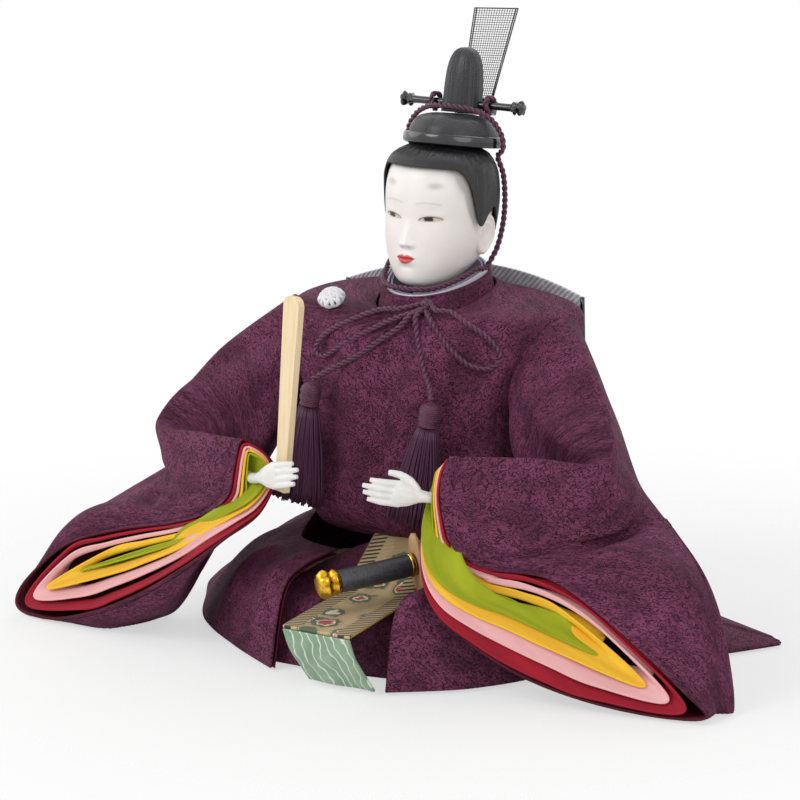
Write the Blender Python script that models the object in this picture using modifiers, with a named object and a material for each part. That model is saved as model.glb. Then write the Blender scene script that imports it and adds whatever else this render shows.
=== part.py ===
# Seated emperor doll of the hina festival, built as a doll maker builds it:
# a straw trunk on a wooden seat board, wire arms, a peg-mounted head with a lacquered
# gauze crown, and a court robe of separate cloth panels.
# Metres, +Z up. The doll faces -Y, its left hand is at +X, and the floor is z = 0.
import bpy
import bmesh
import math
import numpy as np
from mathutils import Matrix, Vector
from mathutils.bvhtree import BVHTree

# Clearances and walls
GAP = 0.0003
CLOTH = 0.0009
LINING = 0.0004
OVERRUN = 0.002

# Seat board and straw trunk
BOARD_WIDTH = 0.104
BOARD_DEPTH = 0.104
BOARD_THICKNESS = 0.006
BOARD_BACK = 0.034
BOARD_BEVEL = 0.0015
CORE_RADIUS_FOOT = 0.023
CORE_RADIUS_TOP = 0.017
CORE_TOP = 0.124
CORE_DISH = 0.003
CORE_SIDES = 16
BINDING_RADIUS = 0.0011
BINDING_COUNT = 2
NECK_BORE = 0.0041

# Robe body
SHOULDER_HALF = 0.0625
SHOULDER_HEIGHT = 0.135
CHEST_DEPTH = 0.052
CHEST_BACK = 0.026
ARMHOLE_DEPTH = 0.021
ARMHOLE_HEIGHT = 0.027
ARMHOLE_CENTRE_Y = -0.014
ARMHOLE_CENTRE_Z = 0.105

# Sleeves and skirts are drawn as shares of these two lengths
SLEEVE_DROP = 0.100
SKIRT_LENGTH = 0.100

# Collars
COLLAR_HALF = 0.0195
COLLAR_FRONT = 0.0310
COLLAR_BACK = 0.0180
COLLAR_RISE = 0.0130
COLLAR_TOP_FRONT = 0.1395
COLLAR_TOP_BACK = 0.1480
UNDER_COLLAR_STEP = 0.0016
UNDER_COLLAR_RISE = 0.0018
TOGGLE_RADIUS = 0.0056

# Head on its peg
HEAD_AXIS_Y = -0.004
HEAD_YAW = math.radians(-6.0)
HEAD_ROLL = math.radians(2.0)
HEAD_CENTRE_Y = -0.003
HEAD_HALF = 0.0205
HEAD_FRONT = 0.0235
HEAD_BACK = 0.0212
HEAD_CHIN = 0.1410
HEAD_TOP = 0.1950
NOSE_DEPTH = 0.0030
NOSE_HALF = 0.0028
PEG_RADIUS = 0.0040
PEG_FOOT = 0.112
EAR_LENGTH = 0.0155
EAR_DEPTH = 0.0075
EAR_WALL = 0.0022
HAIR_LIFT = 0.0025
HAIR_WALL = 0.0009

# Crown
CROWN_HALF = 0.0182
CROWN_LENGTH = 0.0192
CROWN_SEAT = 0.0008
CROWN_FOOT = HEAD_TOP + CROWN_SEAT
CROWN_RISE = 0.0115
CROWN_WALL = 0.0010
RIM_HEIGHT = 0.0044
RIM_WALL = 0.0010
LOBE_HALF = 0.0078
LOBE_DEPTH = 0.0066
LOBE_HEIGHT = 0.0267
LOBE_BACK = 0.0045
PIN_RADIUS = 0.0015
PIN_HALF = 0.0285
PIN_KNOB = 0.0028
PIN_RISE = 0.0042
STREAMER_FOOT_HALF = 0.0070
STREAMER_TOP_HALF = 0.0104
STREAMER_HEIGHT = 0.0460
STREAMER_WALL = 0.0008
STREAMER_BORDER = 0.0010
STREAMER_COLUMNS = 5
STREAMER_ROWS = 9
STREAMER_RAIL = 0.0004

# Cords and tassels
CORD_RADIUS = 0.0012
KNOT_RADIUS = 0.0032
RING_RADIUS = 0.0031
RING_REACH = 0.0126
TASSEL_HEAD_RADIUS = 0.0042
TASSEL_HEAD_HEIGHT = 0.0090
TASSEL_LENGTH = 0.0400
TASSEL_HALF = 0.0125
TASSEL_DEPTH = 0.0052
TASSEL_RIBS = 9

# Hands and arms
ARM_WIRE = 0.0011
ARM_PAD = 0.0056
FOREARM_PAD = 0.0044
ARM_PAD_SETBACK = 0.0170
PALM_LENGTH = 0.0125
PALM_HALF = 0.0052
PALM_THICKNESS = 0.0052
FINGER_LENGTH = 0.0135
FINGER_RADIUS = 0.00155
STEM_RADIUS = 0.0022
STEM_LENGTH = 0.0270

# Baton
BATON_LENGTH = 0.0765
BATON_TOP_HALF = 0.0052
BATON_FOOT_HALF = 0.0031
BATON_THICKNESS = 0.0026

# Sword
SWORD_RADIUS = 0.0045
SCABBARD_RADIUS = 0.0048
HILT_LENGTH = 0.0320
SCABBARD_LENGTH = 0.0930
CHAPE_LENGTH = 0.0070
POMMEL_LENGTH = 0.0090
GUARD_HALF = 0.0049
GUARD_HEIGHT = 0.0120
GUARD_WALL = 0.0022
SWORD_BOW = 0.0025

# Sash
SASH_HALF = 0.0148
SASH_WALL = 0.0012

# Train panel behind the shoulders
TRAIN_HALF = 0.0530
TRAIN_HEIGHT = 0.0900
TRAIN_TOP = 0.1440
TRAIN_WALL = 0.0010

parts = bpy.data.collections.new("hina_doll")
cutters = bpy.data.collections.new("cutters")
finishes = {}


# Scene and finish helpers

def clear_scene():
    for item in list(bpy.data.objects):
        bpy.data.objects.remove(item, do_unlink=True)
    bpy.context.scene.collection.children.link(parts)
    bpy.context.scene.collection.children.link(cutters)


def finish(name, colour, roughness=0.7, metallic=0.0):
    material = bpy.data.materials.new(name)
    material.use_nodes = True
    shader = material.node_tree.nodes["Principled BSDF"]
    shader.inputs["Base Color"].default_value = (*colour, 1.0)
    shader.inputs["Roughness"].default_value = roughness
    shader.inputs["Metallic"].default_value = metallic
    material.diffuse_color = (*colour, 1.0)
    finishes[name] = material


def make_finishes():
    finish("plum_jacquard", (0.085, 0.028, 0.060), 0.75)
    finish("crimson_cloth", (0.42, 0.012, 0.035), 0.7)
    finish("pink_cloth", (0.84, 0.42, 0.42), 0.7)
    finish("yellow_cloth", (0.93, 0.62, 0.08), 0.7)
    finish("green_cloth", (0.48, 0.55, 0.05), 0.7)
    finish("white_cloth", (0.85, 0.84, 0.86), 0.7)
    finish("lilac_cloth", (0.62, 0.58, 0.72), 0.7)
    finish("mint_satin", (0.30, 0.44, 0.30), 0.4)
    finish("gold_brocade", (0.50, 0.36, 0.17), 0.5)
    finish("grey_weave", (0.62, 0.64, 0.66), 0.5)
    finish("black_gauze", (0.012, 0.012, 0.014), 0.45)
    finish("black_lacquer", (0.008, 0.008, 0.009), 0.15)
    finish("black_silk", (0.010, 0.010, 0.011), 0.4)
    finish("white_skin", (0.88, 0.86, 0.83), 0.35)
    finish("plum_cord", (0.060, 0.012, 0.045), 0.6)
    finish("violet_floss", (0.050, 0.012, 0.070), 0.55)
    finish("gold_metal", (0.85, 0.60, 0.16), 0.25, 1.0)
    finish("grey_sharkskin", (0.10, 0.10, 0.11), 0.45)
    finish("pale_wood", (0.76, 0.56, 0.34), 0.5)
    finish("straw", (0.62, 0.48, 0.22), 0.9)
    finish("hemp_cord", (0.50, 0.40, 0.25), 0.9)
    finish("steel_wire", (0.45, 0.45, 0.47), 0.35, 1.0)
    finish("wood_wool", (0.70, 0.60, 0.42), 0.9)


def place(item, material, collection=parts):
    for other in list(item.users_collection):
        other.objects.unlink(item)
    collection.objects.link(item)
    item.data.materials.clear()
    item.data.materials.append(finishes[material])
    return item


def new_mesh(name, vertices, faces, material, smooth=True):
    mesh = bpy.data.meshes.new(name)
    mesh.from_pydata([tuple(v) for v in vertices], [], faces)
    mesh.validate()
    mesh.update()
    item = bpy.data.objects.new(name, mesh)
    bpy.context.scene.collection.objects.link(item)
    place(item, material)
    if smooth:
        mesh.shade_smooth()
        mesh.set_sharp_from_angle(angle=math.radians(40))
    return item


# Curves and nets

def smooth_points(points, count, closed=False):
    # Catmull-Rom curve through the points, read at even steps
    points = np.asarray(points, dtype=float)
    size = len(points)
    if closed:
        steps = np.arange(count) * size / count
    else:
        steps = np.linspace(0, size - 1, count)
    cell = np.floor(steps).astype(int)
    if not closed:
        cell = np.minimum(cell, size - 2)
    t = (steps - cell).reshape((-1,) + (1,) * (points.ndim - 1))

    def pick(shift):
        if closed:
            return points[(cell + shift) % size]
        return points[np.clip(cell + shift, 0, size - 1)]

    before, start, end, after = pick(-1), pick(0), pick(1), pick(2)
    slope_in = (end - before) / 2
    slope_out = (after - start) / 2
    chord = end - start
    return start + t * slope_in + t**2 * (3 * chord - 2 * slope_in - slope_out) \
        + t**3 * (slope_in + slope_out - 2 * chord)


def net_of(rows, across, along, closed=True):
    # Rows are lines of guide points of one length. The net runs smoothly both ways
    fine_rows = np.array([smooth_points(row, across, closed) for row in rows])
    return smooth_points(fine_rows, along)


def net_faces(along, across, closed):
    faces = []
    for i in range(along - 1):
        for j in range(across if closed else across - 1):
            k = (j + 1) % across
            faces.append((i * across + j, i * across + k, (i + 1) * across + k, (i + 1) * across + j))
    return faces


def net_normals(net, closed):
    along_step = np.gradient(net, axis=0)
    if closed:
        across_step = np.roll(net, -1, axis=1) - np.roll(net, 1, axis=1)
    else:
        across_step = np.gradient(net, axis=1)
    normal = np.cross(across_step, along_step)
    length = np.linalg.norm(normal, axis=2, keepdims=True)
    return normal / np.maximum(length, 1e-12)


def short_split(points, face):
    # Both walls of a sheet fold along the shorter way across each face
    a, b, c, d = face
    if np.linalg.norm(points[a] - points[c]) <= np.linalg.norm(points[b] - points[d]):
        return (a, b, c), (a, c, d)
    return (a, b, d), (b, c, d)


def cloth_sheet(name, net, wall, material, closed=True, flip=False):
    # Open net with its wall grown inwards, away from the side it shows
    along, across = net.shape[:2]
    faces = net_faces(along, across, closed)
    if closed:
        faces = [half for face in faces for half in short_split(net.reshape(-1, 3), face)]
    if flip:
        faces = [tuple(reversed(face)) for face in faces]
    item = new_mesh(name, net.reshape(-1, 3), faces, material)
    solid = item.modifiers.new("wall", "SOLIDIFY")
    solid.thickness = wall
    solid.offset = -1
    solid.use_rim = True
    return item


def solid_net(name, net, material, flip=False):
    # Closed body from rings, with a fan of faces over each end
    along, across = net.shape[:2]
    vertices = list(net.reshape(-1, 3))
    faces = net_faces(along, across, True)
    for row, order in ((0, -1), (along - 1, 1)):
        ring = [row * across + j for j in range(across)]
        vertices.append(net[row].mean(axis=0))
        centre = len(vertices) - 1
        for j in range(across):
            pair = (ring[j], ring[(j + 1) % across])
            faces.append((pair[1], pair[0], centre) if order < 0 else (pair[0], pair[1], centre))
    if flip:
        faces = [tuple(reversed(face)) for face in faces]
    return new_mesh(name, vertices, faces, material)


def ring_loop(half, front, back, count, power=2.0):
    # Rounded loop about the Z axis from the front, by way of +X, with its own front and back depth
    turn = np.linspace(0, 2 * math.pi, count, endpoint=False)
    sine, cosine = np.sin(turn), np.cos(turn)
    x = half * np.sign(sine) * np.abs(sine) ** (2 / power)
    depth = np.where(cosine > 0, front, back)
    y = -depth * np.sign(cosine) * np.abs(cosine) ** (2 / power)
    return np.stack([x, y, np.zeros(count)], axis=1)


# Solid makers

def apply_modifiers(item):
    graph = bpy.context.evaluated_depsgraph_get()
    mesh = bpy.data.meshes.new_from_object(item.evaluated_get(graph))
    for modifier in list(item.modifiers):
        item.modifiers.remove(modifier)
    item.data = mesh
    return item


def boolean(item, other, operation):
    cut = item.modifiers.new(operation.lower(), "BOOLEAN")
    cut.operation = operation
    cut.solver = "EXACT"
    cut.object = other
    apply_modifiers(item)
    bpy.data.objects.remove(other, do_unlink=True)
    return item


def box(name, size, centre, material, bevel=0.0):
    bpy.ops.mesh.primitive_cube_add(size=1)
    item = bpy.context.object
    item.name = name
    item.data.transform(Matrix.Translation(centre) @ Matrix.Diagonal((*size, 1)))
    place(item, material)
    if bevel:
        edge = item.modifiers.new("edge", "BEVEL")
        edge.width = bevel
        edge.segments = 2
    return item


def turned(name, profile, steps, material):
    # Profile of (radius, height) pairs down the outer side, turned about Z
    mesh = bpy.data.meshes.new(name)
    points = [(radius, 0, height) for radius, height in profile]
    edges = [(i, i + 1) for i in range(len(points) - 1)]
    mesh.from_pydata(points, edges, [])
    item = bpy.data.objects.new(name, mesh)
    bpy.context.scene.collection.objects.link(item)
    place(item, material)
    turn = item.modifiers.new("turn", "SCREW")
    turn.steps = steps
    turn.render_steps = steps
    turn.use_merge_vertices = True
    turn.merge_threshold = 1e-6
    apply_modifiers(item)
    item.data.shade_smooth()
    item.data.set_sharp_from_angle(angle=math.radians(40))
    return item


def tube(name, points, radius, material, resolution=2, radii=None, closed=False):
    # Round cord or wire along the points, with filled ends
    curve = bpy.data.curves.new(name, "CURVE")
    curve.dimensions = "3D"
    curve.bevel_depth = radius
    curve.bevel_resolution = resolution
    curve.use_fill_caps = True
    spline = curve.splines.new("POLY")
    spline.points.add(len(points) - 1)
    for index, point in enumerate(points):
        spline.points[index].co = (*point, 1)
        if radii is not None:
            spline.points[index].radius = radii[index]
    spline.use_cyclic_u = closed
    item = bpy.data.objects.new(name, curve)
    bpy.context.scene.collection.objects.link(item)
    graph = bpy.context.evaluated_depsgraph_get()
    mesh = bpy.data.meshes.new_from_object(item.evaluated_get(graph))
    solid = bpy.data.objects.new(name, mesh)
    bpy.data.objects.remove(item, do_unlink=True)
    bpy.context.scene.collection.objects.link(solid)
    solid.name = name
    weld(solid)
    place(solid, material)
    mesh.shade_smooth()
    mesh.set_sharp_from_angle(angle=math.radians(50))
    return solid


def weld(item):
    mesh = bmesh.new()
    mesh.from_mesh(item.data)
    bmesh.ops.remove_doubles(mesh, verts=mesh.verts, dist=1e-6)
    bmesh.ops.recalc_face_normals(mesh, faces=mesh.faces)
    mesh.to_mesh(item.data)
    mesh.free()


def turn_about(item, matrix):
    item.data.transform(matrix)
    item.data.update()
    return item


def set_origin(item, point):
    # The origin goes to a point on the joint's axis and the mesh stays where it is
    shift = Vector(point) - item.location
    item.data.transform(Matrix.Translation(-shift))
    item.location = Vector(point)
    return item


def empty(name, point):
    item = bpy.data.objects.new(name, None)
    item.location = point
    cutters.objects.link(item)
    return item


def carry(holder, item):
    item.parent = holder
    item.matrix_parent_inverse = Matrix.Translation(-Vector(holder.location))
    return item


# Seat board, straw trunk and its bindings

def make_seat_board():
    centre = (0, BOARD_BACK - BOARD_DEPTH / 2, BOARD_THICKNESS / 2)
    return box("seat_board", (BOARD_WIDTH, BOARD_DEPTH, BOARD_THICKNESS), centre, "pale_wood", BOARD_BEVEL)


def core_radius(height):
    foot = BOARD_THICKNESS + GAP
    share = (height - foot) / (CORE_TOP - foot)
    return CORE_RADIUS_FOOT + (CORE_RADIUS_TOP - CORE_RADIUS_FOOT) * share


def make_straw_core():
    foot = BOARD_THICKNESS + GAP
    bore_floor = PEG_FOOT - GAP
    profile = [
        (0, bore_floor),
        (NECK_BORE, bore_floor),
        (NECK_BORE, CORE_TOP - CORE_DISH),
        (CORE_RADIUS_TOP - CORE_DISH, CORE_TOP),
        (core_radius(CORE_TOP - CORE_DISH), CORE_TOP - CORE_DISH),
        (CORE_RADIUS_FOOT, foot),
        (0, foot),
    ]
    core = turned("straw_core", profile, CORE_SIDES, "straw")
    turn_about(core, Matrix.Translation((0, HEAD_AXIS_Y, 0)))
    hole = tube("wire_hole", wire_points(), ARM_WIRE + GAP, "straw", 2)
    return boolean(core, hole, "DIFFERENCE")


def make_core_bindings():
    # Cord turns that hold the straw bundle, spread up the trunk below the arm wire
    first = None
    for index in range(BINDING_COUNT):
        height = CORE_TOP * (index + 1) / (BINDING_COUNT + 2)
        radius = core_radius(height - BINDING_RADIUS) + BINDING_RADIUS + GAP
        bpy.ops.mesh.primitive_torus_add(
            major_radius=radius, minor_radius=BINDING_RADIUS, major_segments=CORE_SIDES, minor_segments=6,
            location=(0, HEAD_AXIS_Y, height))
        ring = bpy.context.object
        ring.name = f"core_binding_{index + 1}"
        place(ring, "hemp_cord")
        first = first or ring
    return first


# Arm wire, padding and hands

def wrist_point(side):
    # Middle of the sleeve mouth just below its top fold
    mouth = sleeve_rings(side)[-1]
    upper = np.array(mouth[1]) + np.array(mouth[15])
    lower = np.array(mouth[2]) + np.array(mouth[14])
    return Vector((upper * (1 - wrist_drop_share) + lower * wrist_drop_share) / 2)


wrist_drop_share = 0.30


def forearm_point(side):
    ring = sleeve_rings(side)[3]
    return Vector((np.array(ring[1]) + np.array(ring[15])) / 2)


def elbow_point(side):
    ring = sleeve_rings(side)[2]
    upper = np.array(ring[1]) + np.array(ring[15])
    lower = np.array(ring[2]) + np.array(ring[14])
    return Vector((upper * elbow_rise_share + lower * (1 - elbow_rise_share)) / 2)


elbow_rise_share = 0.4


def shoulder_point(side):
    return Vector((side * SHOULDER_HALF * shoulder_share, ARMHOLE_CENTRE_Y, ARMHOLE_CENTRE_Z))


shoulder_share = 0.75


def hand_direction(side):
    return (wrist_point(side) - forearm_point(side)).normalized()


def arm_route(side):
    # From the shoulder through the elbow to the stem of the hand
    inner = wrist_point(side) - hand_direction(side) * (STEM_LENGTH + OVERRUN)
    return [shoulder_point(side), elbow_point(side), inner]


def wire_points():
    left = [tuple(p) for p in arm_route(1)]
    right = [tuple(p) for p in arm_route(-1)]
    middle = [(0, HEAD_AXIS_Y, CORE_TOP - CORE_RADIUS_TOP)]
    return smooth_points(list(reversed(right)) + middle + left, 31)


def make_arm_wire():
    return tube("arm_wire", wire_points(), ARM_WIRE, "steel_wire", 1)


shoulder_pad_share = 0.85


def make_arm_pad(side, name):
    # Wound wood wool round the wire from shoulder to wrist, bored for the stem of the hand
    points = wire_points()
    points = points[20:] if side > 0 else points[10::-1]
    wrist, direction = wrist_point(side), hand_direction(side)
    route = list(points[1:]) + [tuple(wrist - direction * ARM_PAD_SETBACK)]
    slim = [FOREARM_PAD / ARM_PAD] * 4
    radii = [shoulder_pad_share] * 3 + [1.0] * (len(route) - len(slim) - 3) + slim
    pad = tube(name, route, ARM_PAD, "wood_wool", 2, radii=radii)
    end = tuple(wrist - direction * (STEM_LENGTH - OVERRUN))
    pad = boolean(pad, tube("wire_bore", list(points) + [end], ARM_WIRE + GAP, "wood_wool", 1), "DIFFERENCE")
    stem = [tuple(wrist - direction * (STEM_LENGTH + OVERRUN / 2)), tuple(wrist)]
    return boolean(pad, tube("stem_bore", stem, STEM_RADIUS + GAP, "wood_wool", 2), "DIFFERENCE")


def hand_axes(side):
    # Wrist, then the ways in which the fingers point, the thumb edge lies and the palm faces
    back = Vector(hand_back_shares[side])
    forward = (hand_direction(side) + Vector(hand_bend_shares[side])).normalized()
    palm = -(back - forward * back.dot(forward)).normalized()
    edge = forward.cross(palm).normalized()
    if edge.z < 0:
        edge = -edge
    return wrist_point(side), forward, edge, palm


hand_back_shares = {1: (0.25, -0.90, -0.10), -1: (-0.30, -0.90, 0.10)}
hand_bend_shares = {1: (0.0, -0.20, 0.36), -1: (0.0, -0.05, 0.42)}
# Along the hand, half width and half thickness, in palm lengths, half widths and thicknesses
PALM_SETOUT = 0.0052
palm_shares = ((0.0, 0.42, 0.50), (0.25, 0.62, 0.46), (0.60, 1.00, 0.50), (1.0, 1.05, 0.34))
finger_shares = (0.82, 1.0, 0.95, 0.80)
# Thumb in palm lengths forward, palm half widths toward the thumb edge and thicknesses palmward
thumb_shares = {
    1: ((0.25, 0.40, 0.0), (0.50, 1.00, 0.25), (0.85, 1.30, 0.45), (1.20, 1.35, 0.55)),
    -1: ((0.20, 0.35, 0.0), (0.19, 0.65, 0.75), (0.30, 0.80, 1.35), (0.60, 0.85, 1.50), (0.90, 0.85, 1.45)),
}


def make_hand(side, name):
    # Stem, palm, four fingers side by side and a thumb
    wrist, forward, edge, palm = hand_axes(side)
    inward = -hand_direction(side)
    turn = np.linspace(0, 2 * math.pi, 12, endpoint=False)
    rows = []
    for reach in (STEM_LENGTH, STEM_LENGTH / 2, 0):
        centre = wrist + inward * reach
        rows.append([centre + edge * STEM_RADIUS * math.cos(a) + palm * STEM_RADIUS * math.sin(a) for a in turn])
    for reach, half, thick in palm_shares:
        centre = wrist + forward * (PALM_SETOUT + PALM_LENGTH * reach)
        rows.append([centre + edge * PALM_HALF * half * math.cos(a) + palm * PALM_THICKNESS * thick * math.sin(a)
                     for a in turn])
    hand = solid_net(name, net_of(rows, 12, 10), "white_skin")
    weld(hand)
    knuckles = wrist + forward * (PALM_SETOUT + PALM_LENGTH - FINGER_RADIUS)
    step = PALM_HALF * 2 / len(finger_shares)
    for index, share in enumerate(finger_shares):
        start = knuckles + edge * step * ((len(finger_shares) - 1) / 2 - index)
        hand = boolean(hand, finger(start, forward, palm * finger_bend_share, FINGER_LENGTH * share), "UNION")
    route = [wrist + forward * (PALM_SETOUT + PALM_LENGTH * along) + edge * PALM_HALF * out + palm * PALM_THICKNESS * deep
             for along, out, deep in thumb_shares[side]]
    radii = [1.0] * (len(route) - 1) + [0.75]
    thumb = tube("thumb", smooth_points([tuple(point) for point in route], 7), FINGER_RADIUS, "white_skin", 2,
                 radii=np.interp(np.linspace(0, 1, 7), np.linspace(0, 1, len(radii)), radii))
    hand = boolean(hand, thumb, "UNION")
    hand.data.shade_smooth()
    return set_origin(hand, wrist)


finger_bend_share = 0.27


def finger(start, direction, bend, length):
    knuckle = start + direction * length / 2
    tip = knuckle + (direction + bend).normalized() * length / 2
    route = [tuple(start - direction * FINGER_RADIUS), tuple(start), tuple(knuckle), tuple(tip)]
    return tube("finger", route, FINGER_RADIUS, "white_skin", 2, radii=[1.05, 1.0, 0.92, 0.6])


baton_foot_share = 0.085
baton_grip_share = 0.80
baton_corner_share = 0.60


def make_baton():
    # Flat court baton, wide and rounded at the top, held upright between the fingers and the thumb
    wrist, forward, edge, palm = hand_axes(-1)
    depth = PALM_THICKNESS / 2 + GAP * 2 + BATON_THICKNESS / 2
    centre = wrist + forward * (PALM_SETOUT + PALM_LENGTH * baton_grip_share) + palm * depth
    foot = -BATON_LENGTH * baton_foot_share
    top = foot + BATON_LENGTH
    corner = BATON_TOP_HALF * baton_corner_share
    cut = corner / 3
    outline = [(-BATON_FOOT_HALF, foot), (BATON_FOOT_HALF, foot), (BATON_TOP_HALF, top - corner),
               (BATON_TOP_HALF - cut, top - cut), (BATON_TOP_HALF - corner, top),
               (-BATON_TOP_HALF + corner, top), (-BATON_TOP_HALF + cut, top - cut),
               (-BATON_TOP_HALF, top - corner)]
    plate = flat_plate("baton", outline, BATON_THICKNESS, "pale_wood")
    turn_about(plate, Matrix.Translation(centre) @ baton_turn())
    return set_origin(plate, centre)


def baton_turn():
    # Local Y is the way the palm faces and local Z stands nearly upright
    palm = hand_axes(-1)[3]
    up = (Vector((0, 0, 1)) + Vector(baton_lean_shares)).normalized()
    up = (up - palm * up.dot(palm)).normalized()
    side = palm.cross(up)
    return Matrix((side, palm, up)).transposed().to_4x4()


baton_lean_shares = (0.03, 0.0, 0.0)


def flat_plate(name, outline, thickness, material, bevel=0.0):
    # Outline of (x, z) pairs as a filled flat curve of the given thickness, standing in the XZ plane
    curve = bpy.data.curves.new(name, "CURVE")
    curve.dimensions = "2D"
    curve.fill_mode = "BOTH"
    curve.extrude = thickness / 2
    spline = curve.splines.new("POLY")
    spline.points.add(len(outline) - 1)
    for index, (x, z) in enumerate(outline):
        spline.points[index].co = (x, z, 0, 1)
    spline.use_cyclic_u = True
    item = bpy.data.objects.new(name, curve)
    bpy.context.scene.collection.objects.link(item)
    graph = bpy.context.evaluated_depsgraph_get()
    mesh = bpy.data.meshes.new_from_object(item.evaluated_get(graph))
    bpy.data.objects.remove(item, do_unlink=True)
    solid = bpy.data.objects.new(name, mesh)
    bpy.context.scene.collection.objects.link(solid)
    solid.name = name
    weld(solid)
    place(solid, material)
    turn_about(solid, Matrix.Rotation(math.pi / 2, 4, "X"))
    if bevel:
        edge = solid.modifiers.new("edge", "BEVEL")
        edge.width = bevel
        edge.segments = 2
    return solid


# Robe body

robe_ring_shares = (
    # half width, front depth, back depth, height, extra height at the back
    (0.352, 0.655, 0.790, 0.975, 0.075),
    (0.520, 0.720, 0.880, 0.985, 0.040),
    (0.800, 0.800, 0.960, 0.995, 0.012),
    (0.965, 0.860, 1.000, 0.968, 0.000),
    (0.955, 0.930, 1.080, 0.880, 0.000),
    (0.885, 0.965, 1.120, 0.740, 0.000),
    (0.840, 0.985, 1.160, 0.600, 0.000),
    (0.830, 1.000, 1.180, 0.450, 0.000),
    (0.800, 0.970, 1.150, 0.362, 0.000),
    (0.700, 0.860, 1.040, 0.322, 0.000),
    (0.600, 0.760, 0.940, 0.335, 0.000),
)
ROBE_RING_POINTS = 26
ROBE_ROWS = 11


def robe_rings():
    rings = []
    for half, front, back, height, lift in robe_ring_shares:
        ring = ring_loop(SHOULDER_HALF * half, CHEST_DEPTH * front, CHEST_BACK * back, ROBE_RING_POINTS, ROBE_POWER)
        slope = (ring[:, 1] + CHEST_DEPTH * front) / (CHEST_DEPTH * front + CHEST_BACK * back)
        ring[:, 2] = SHOULDER_HEIGHT * (height + lift * slope)
        rings.append(ring)
    return rings


def robe_side(depth, height):
    # Half width of the body's rounded section at a place front to back and a height
    rows = np.array(robe_ring_shares[:2:-1])
    half, front, back = [float(np.interp(height, SHOULDER_HEIGHT * rows[:, 3], rows[:, i])) for i in range(3)]
    reach = CHEST_DEPTH * front if depth < 0 else CHEST_BACK * back
    inner = max(0.0, 1 - abs(depth / reach) ** ROBE_POWER)
    return SHOULDER_HALF * half * inner ** (1 / ROBE_POWER)


def robe_net():
    return net_of(robe_rings(), ROBE_RING_POINTS, ROBE_ROWS)


def lay_on_robe(guesses, stands):
    # Each point moved to its own distance off the nearest cloth of the body, in cord thicknesses
    net = robe_net()
    tree = BVHTree.FromPolygons([tuple(point) for point in net.reshape(-1, 3)],
                                [tuple(reversed(face)) for face in net_faces(*net.shape[:2], True)])
    route = []
    for guess, stand in zip(guesses, stands):
        place_on, away = tree.find_nearest(Vector(guess))[:2]
        route.append(tuple(place_on + away * (CORD_RADIUS * 2 * stand + GAP)))
    return route


ROBE_POWER = 2.35


def make_robe_body():
    robe = apply_modifiers(cloth_sheet("robe_body", robe_net(), CLOTH, "plum_jacquard", flip=True))
    for side in (1, -1):
        robe = boolean(robe, armhole_cutter(side), "DIFFERENCE")
    return robe


def armhole_cutter(side):
    turn = Matrix.Translation((side * SHOULDER_HALF, ARMHOLE_CENTRE_Y, ARMHOLE_CENTRE_Z))
    bpy.ops.mesh.primitive_cylinder_add(vertices=16, radius=1, depth=SHOULDER_HALF)
    hole = bpy.context.object
    place(hole, "plum_jacquard", cutters)
    scale = Matrix.Diagonal((ARMHOLE_HEIGHT * armhole_share, ARMHOLE_DEPTH * armhole_share, 1, 1))
    return turn_about(hole, turn @ Matrix.Rotation(math.pi / 2, 4, "Y") @ scale)


armhole_share = 0.60


# Sleeves

left_sleeve_shares = (
    # upper arm, from the top fold round the back, under the arm and up the front
    ((0.83, -0.38, 1.12), (0.86, -0.30, 1.03), (0.87, -0.23, 0.94), (0.88, -0.18, 0.86),
     (0.88, -0.16, 0.79), (0.88, -0.17, 0.73), (0.88, -0.20, 0.69), (0.86, -0.22, 0.66),
     (0.82, -0.23, 0.64), (0.77, -0.25, 0.64), (0.70, -0.29, 0.64), (0.62, -0.35, 0.67),
     (0.560, -0.42, 0.74), (0.545, -0.455, 0.83), (0.570, -0.465, 0.93), (0.66, -0.445, 1.05)),
    # elbow, where the cloth reaches the floor
    ((0.975, -0.575, 0.885), (1.00, -0.58, 0.80), (1.02, -0.56, 0.72), (1.05, -0.52, 0.65),
     (1.10, -0.47, 0.62), (1.22, -0.47, 0.575), (1.38, -0.56, 0.48), (1.46, -0.62, 0.25),
     (1.48, -0.66, 0.030), (1.30, -0.56, 0.012), (1.10, -0.48, 0.014), (0.96, -0.46, 0.08),
     (0.86, -0.48, 0.22), (0.78, -0.50, 0.42), (0.755, -0.52, 0.62), (0.805, -0.54, 0.80)),
    # middle of the forearm
    ((0.72, -0.735, 0.90), (0.715, -0.785, 0.79), (0.725, -0.805, 0.67), (0.76, -0.80, 0.57),
     (0.90, -0.76, 0.56), (1.10, -0.74, 0.55), (1.33, -0.75, 0.42), (1.45, -0.77, 0.21),
     (1.50, -0.78, 0.026), (1.32, -0.78, 0.012), (1.08, -0.79, 0.014), (0.88, -0.83, 0.07),
     (0.72, -0.87, 0.19), (0.62, -0.86, 0.37), (0.56, -0.74, 0.56), (0.62, -0.665, 0.80)),
    # mouth, from the wrist down the front lip to the floor tip and back along the lower lip
    ((0.444, -0.860, 0.905), (0.435, -0.920, 0.81), (0.455, -0.940, 0.68), (0.500, -0.930, 0.56),
     (0.620, -0.885, 0.49), (0.860, -0.855, 0.47), (1.130, -0.865, 0.317), (1.390, -0.885, 0.130),
     (1.500, -0.885, 0.032), (1.340, -0.905, 0.012), (1.060, -0.935, 0.040), (0.800, -0.965, 0.110),
     (0.590, -1.005, 0.230), (0.430, -0.995, 0.360), (0.345, -0.875, 0.550), (0.358, -0.755, 0.765)),
)

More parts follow.
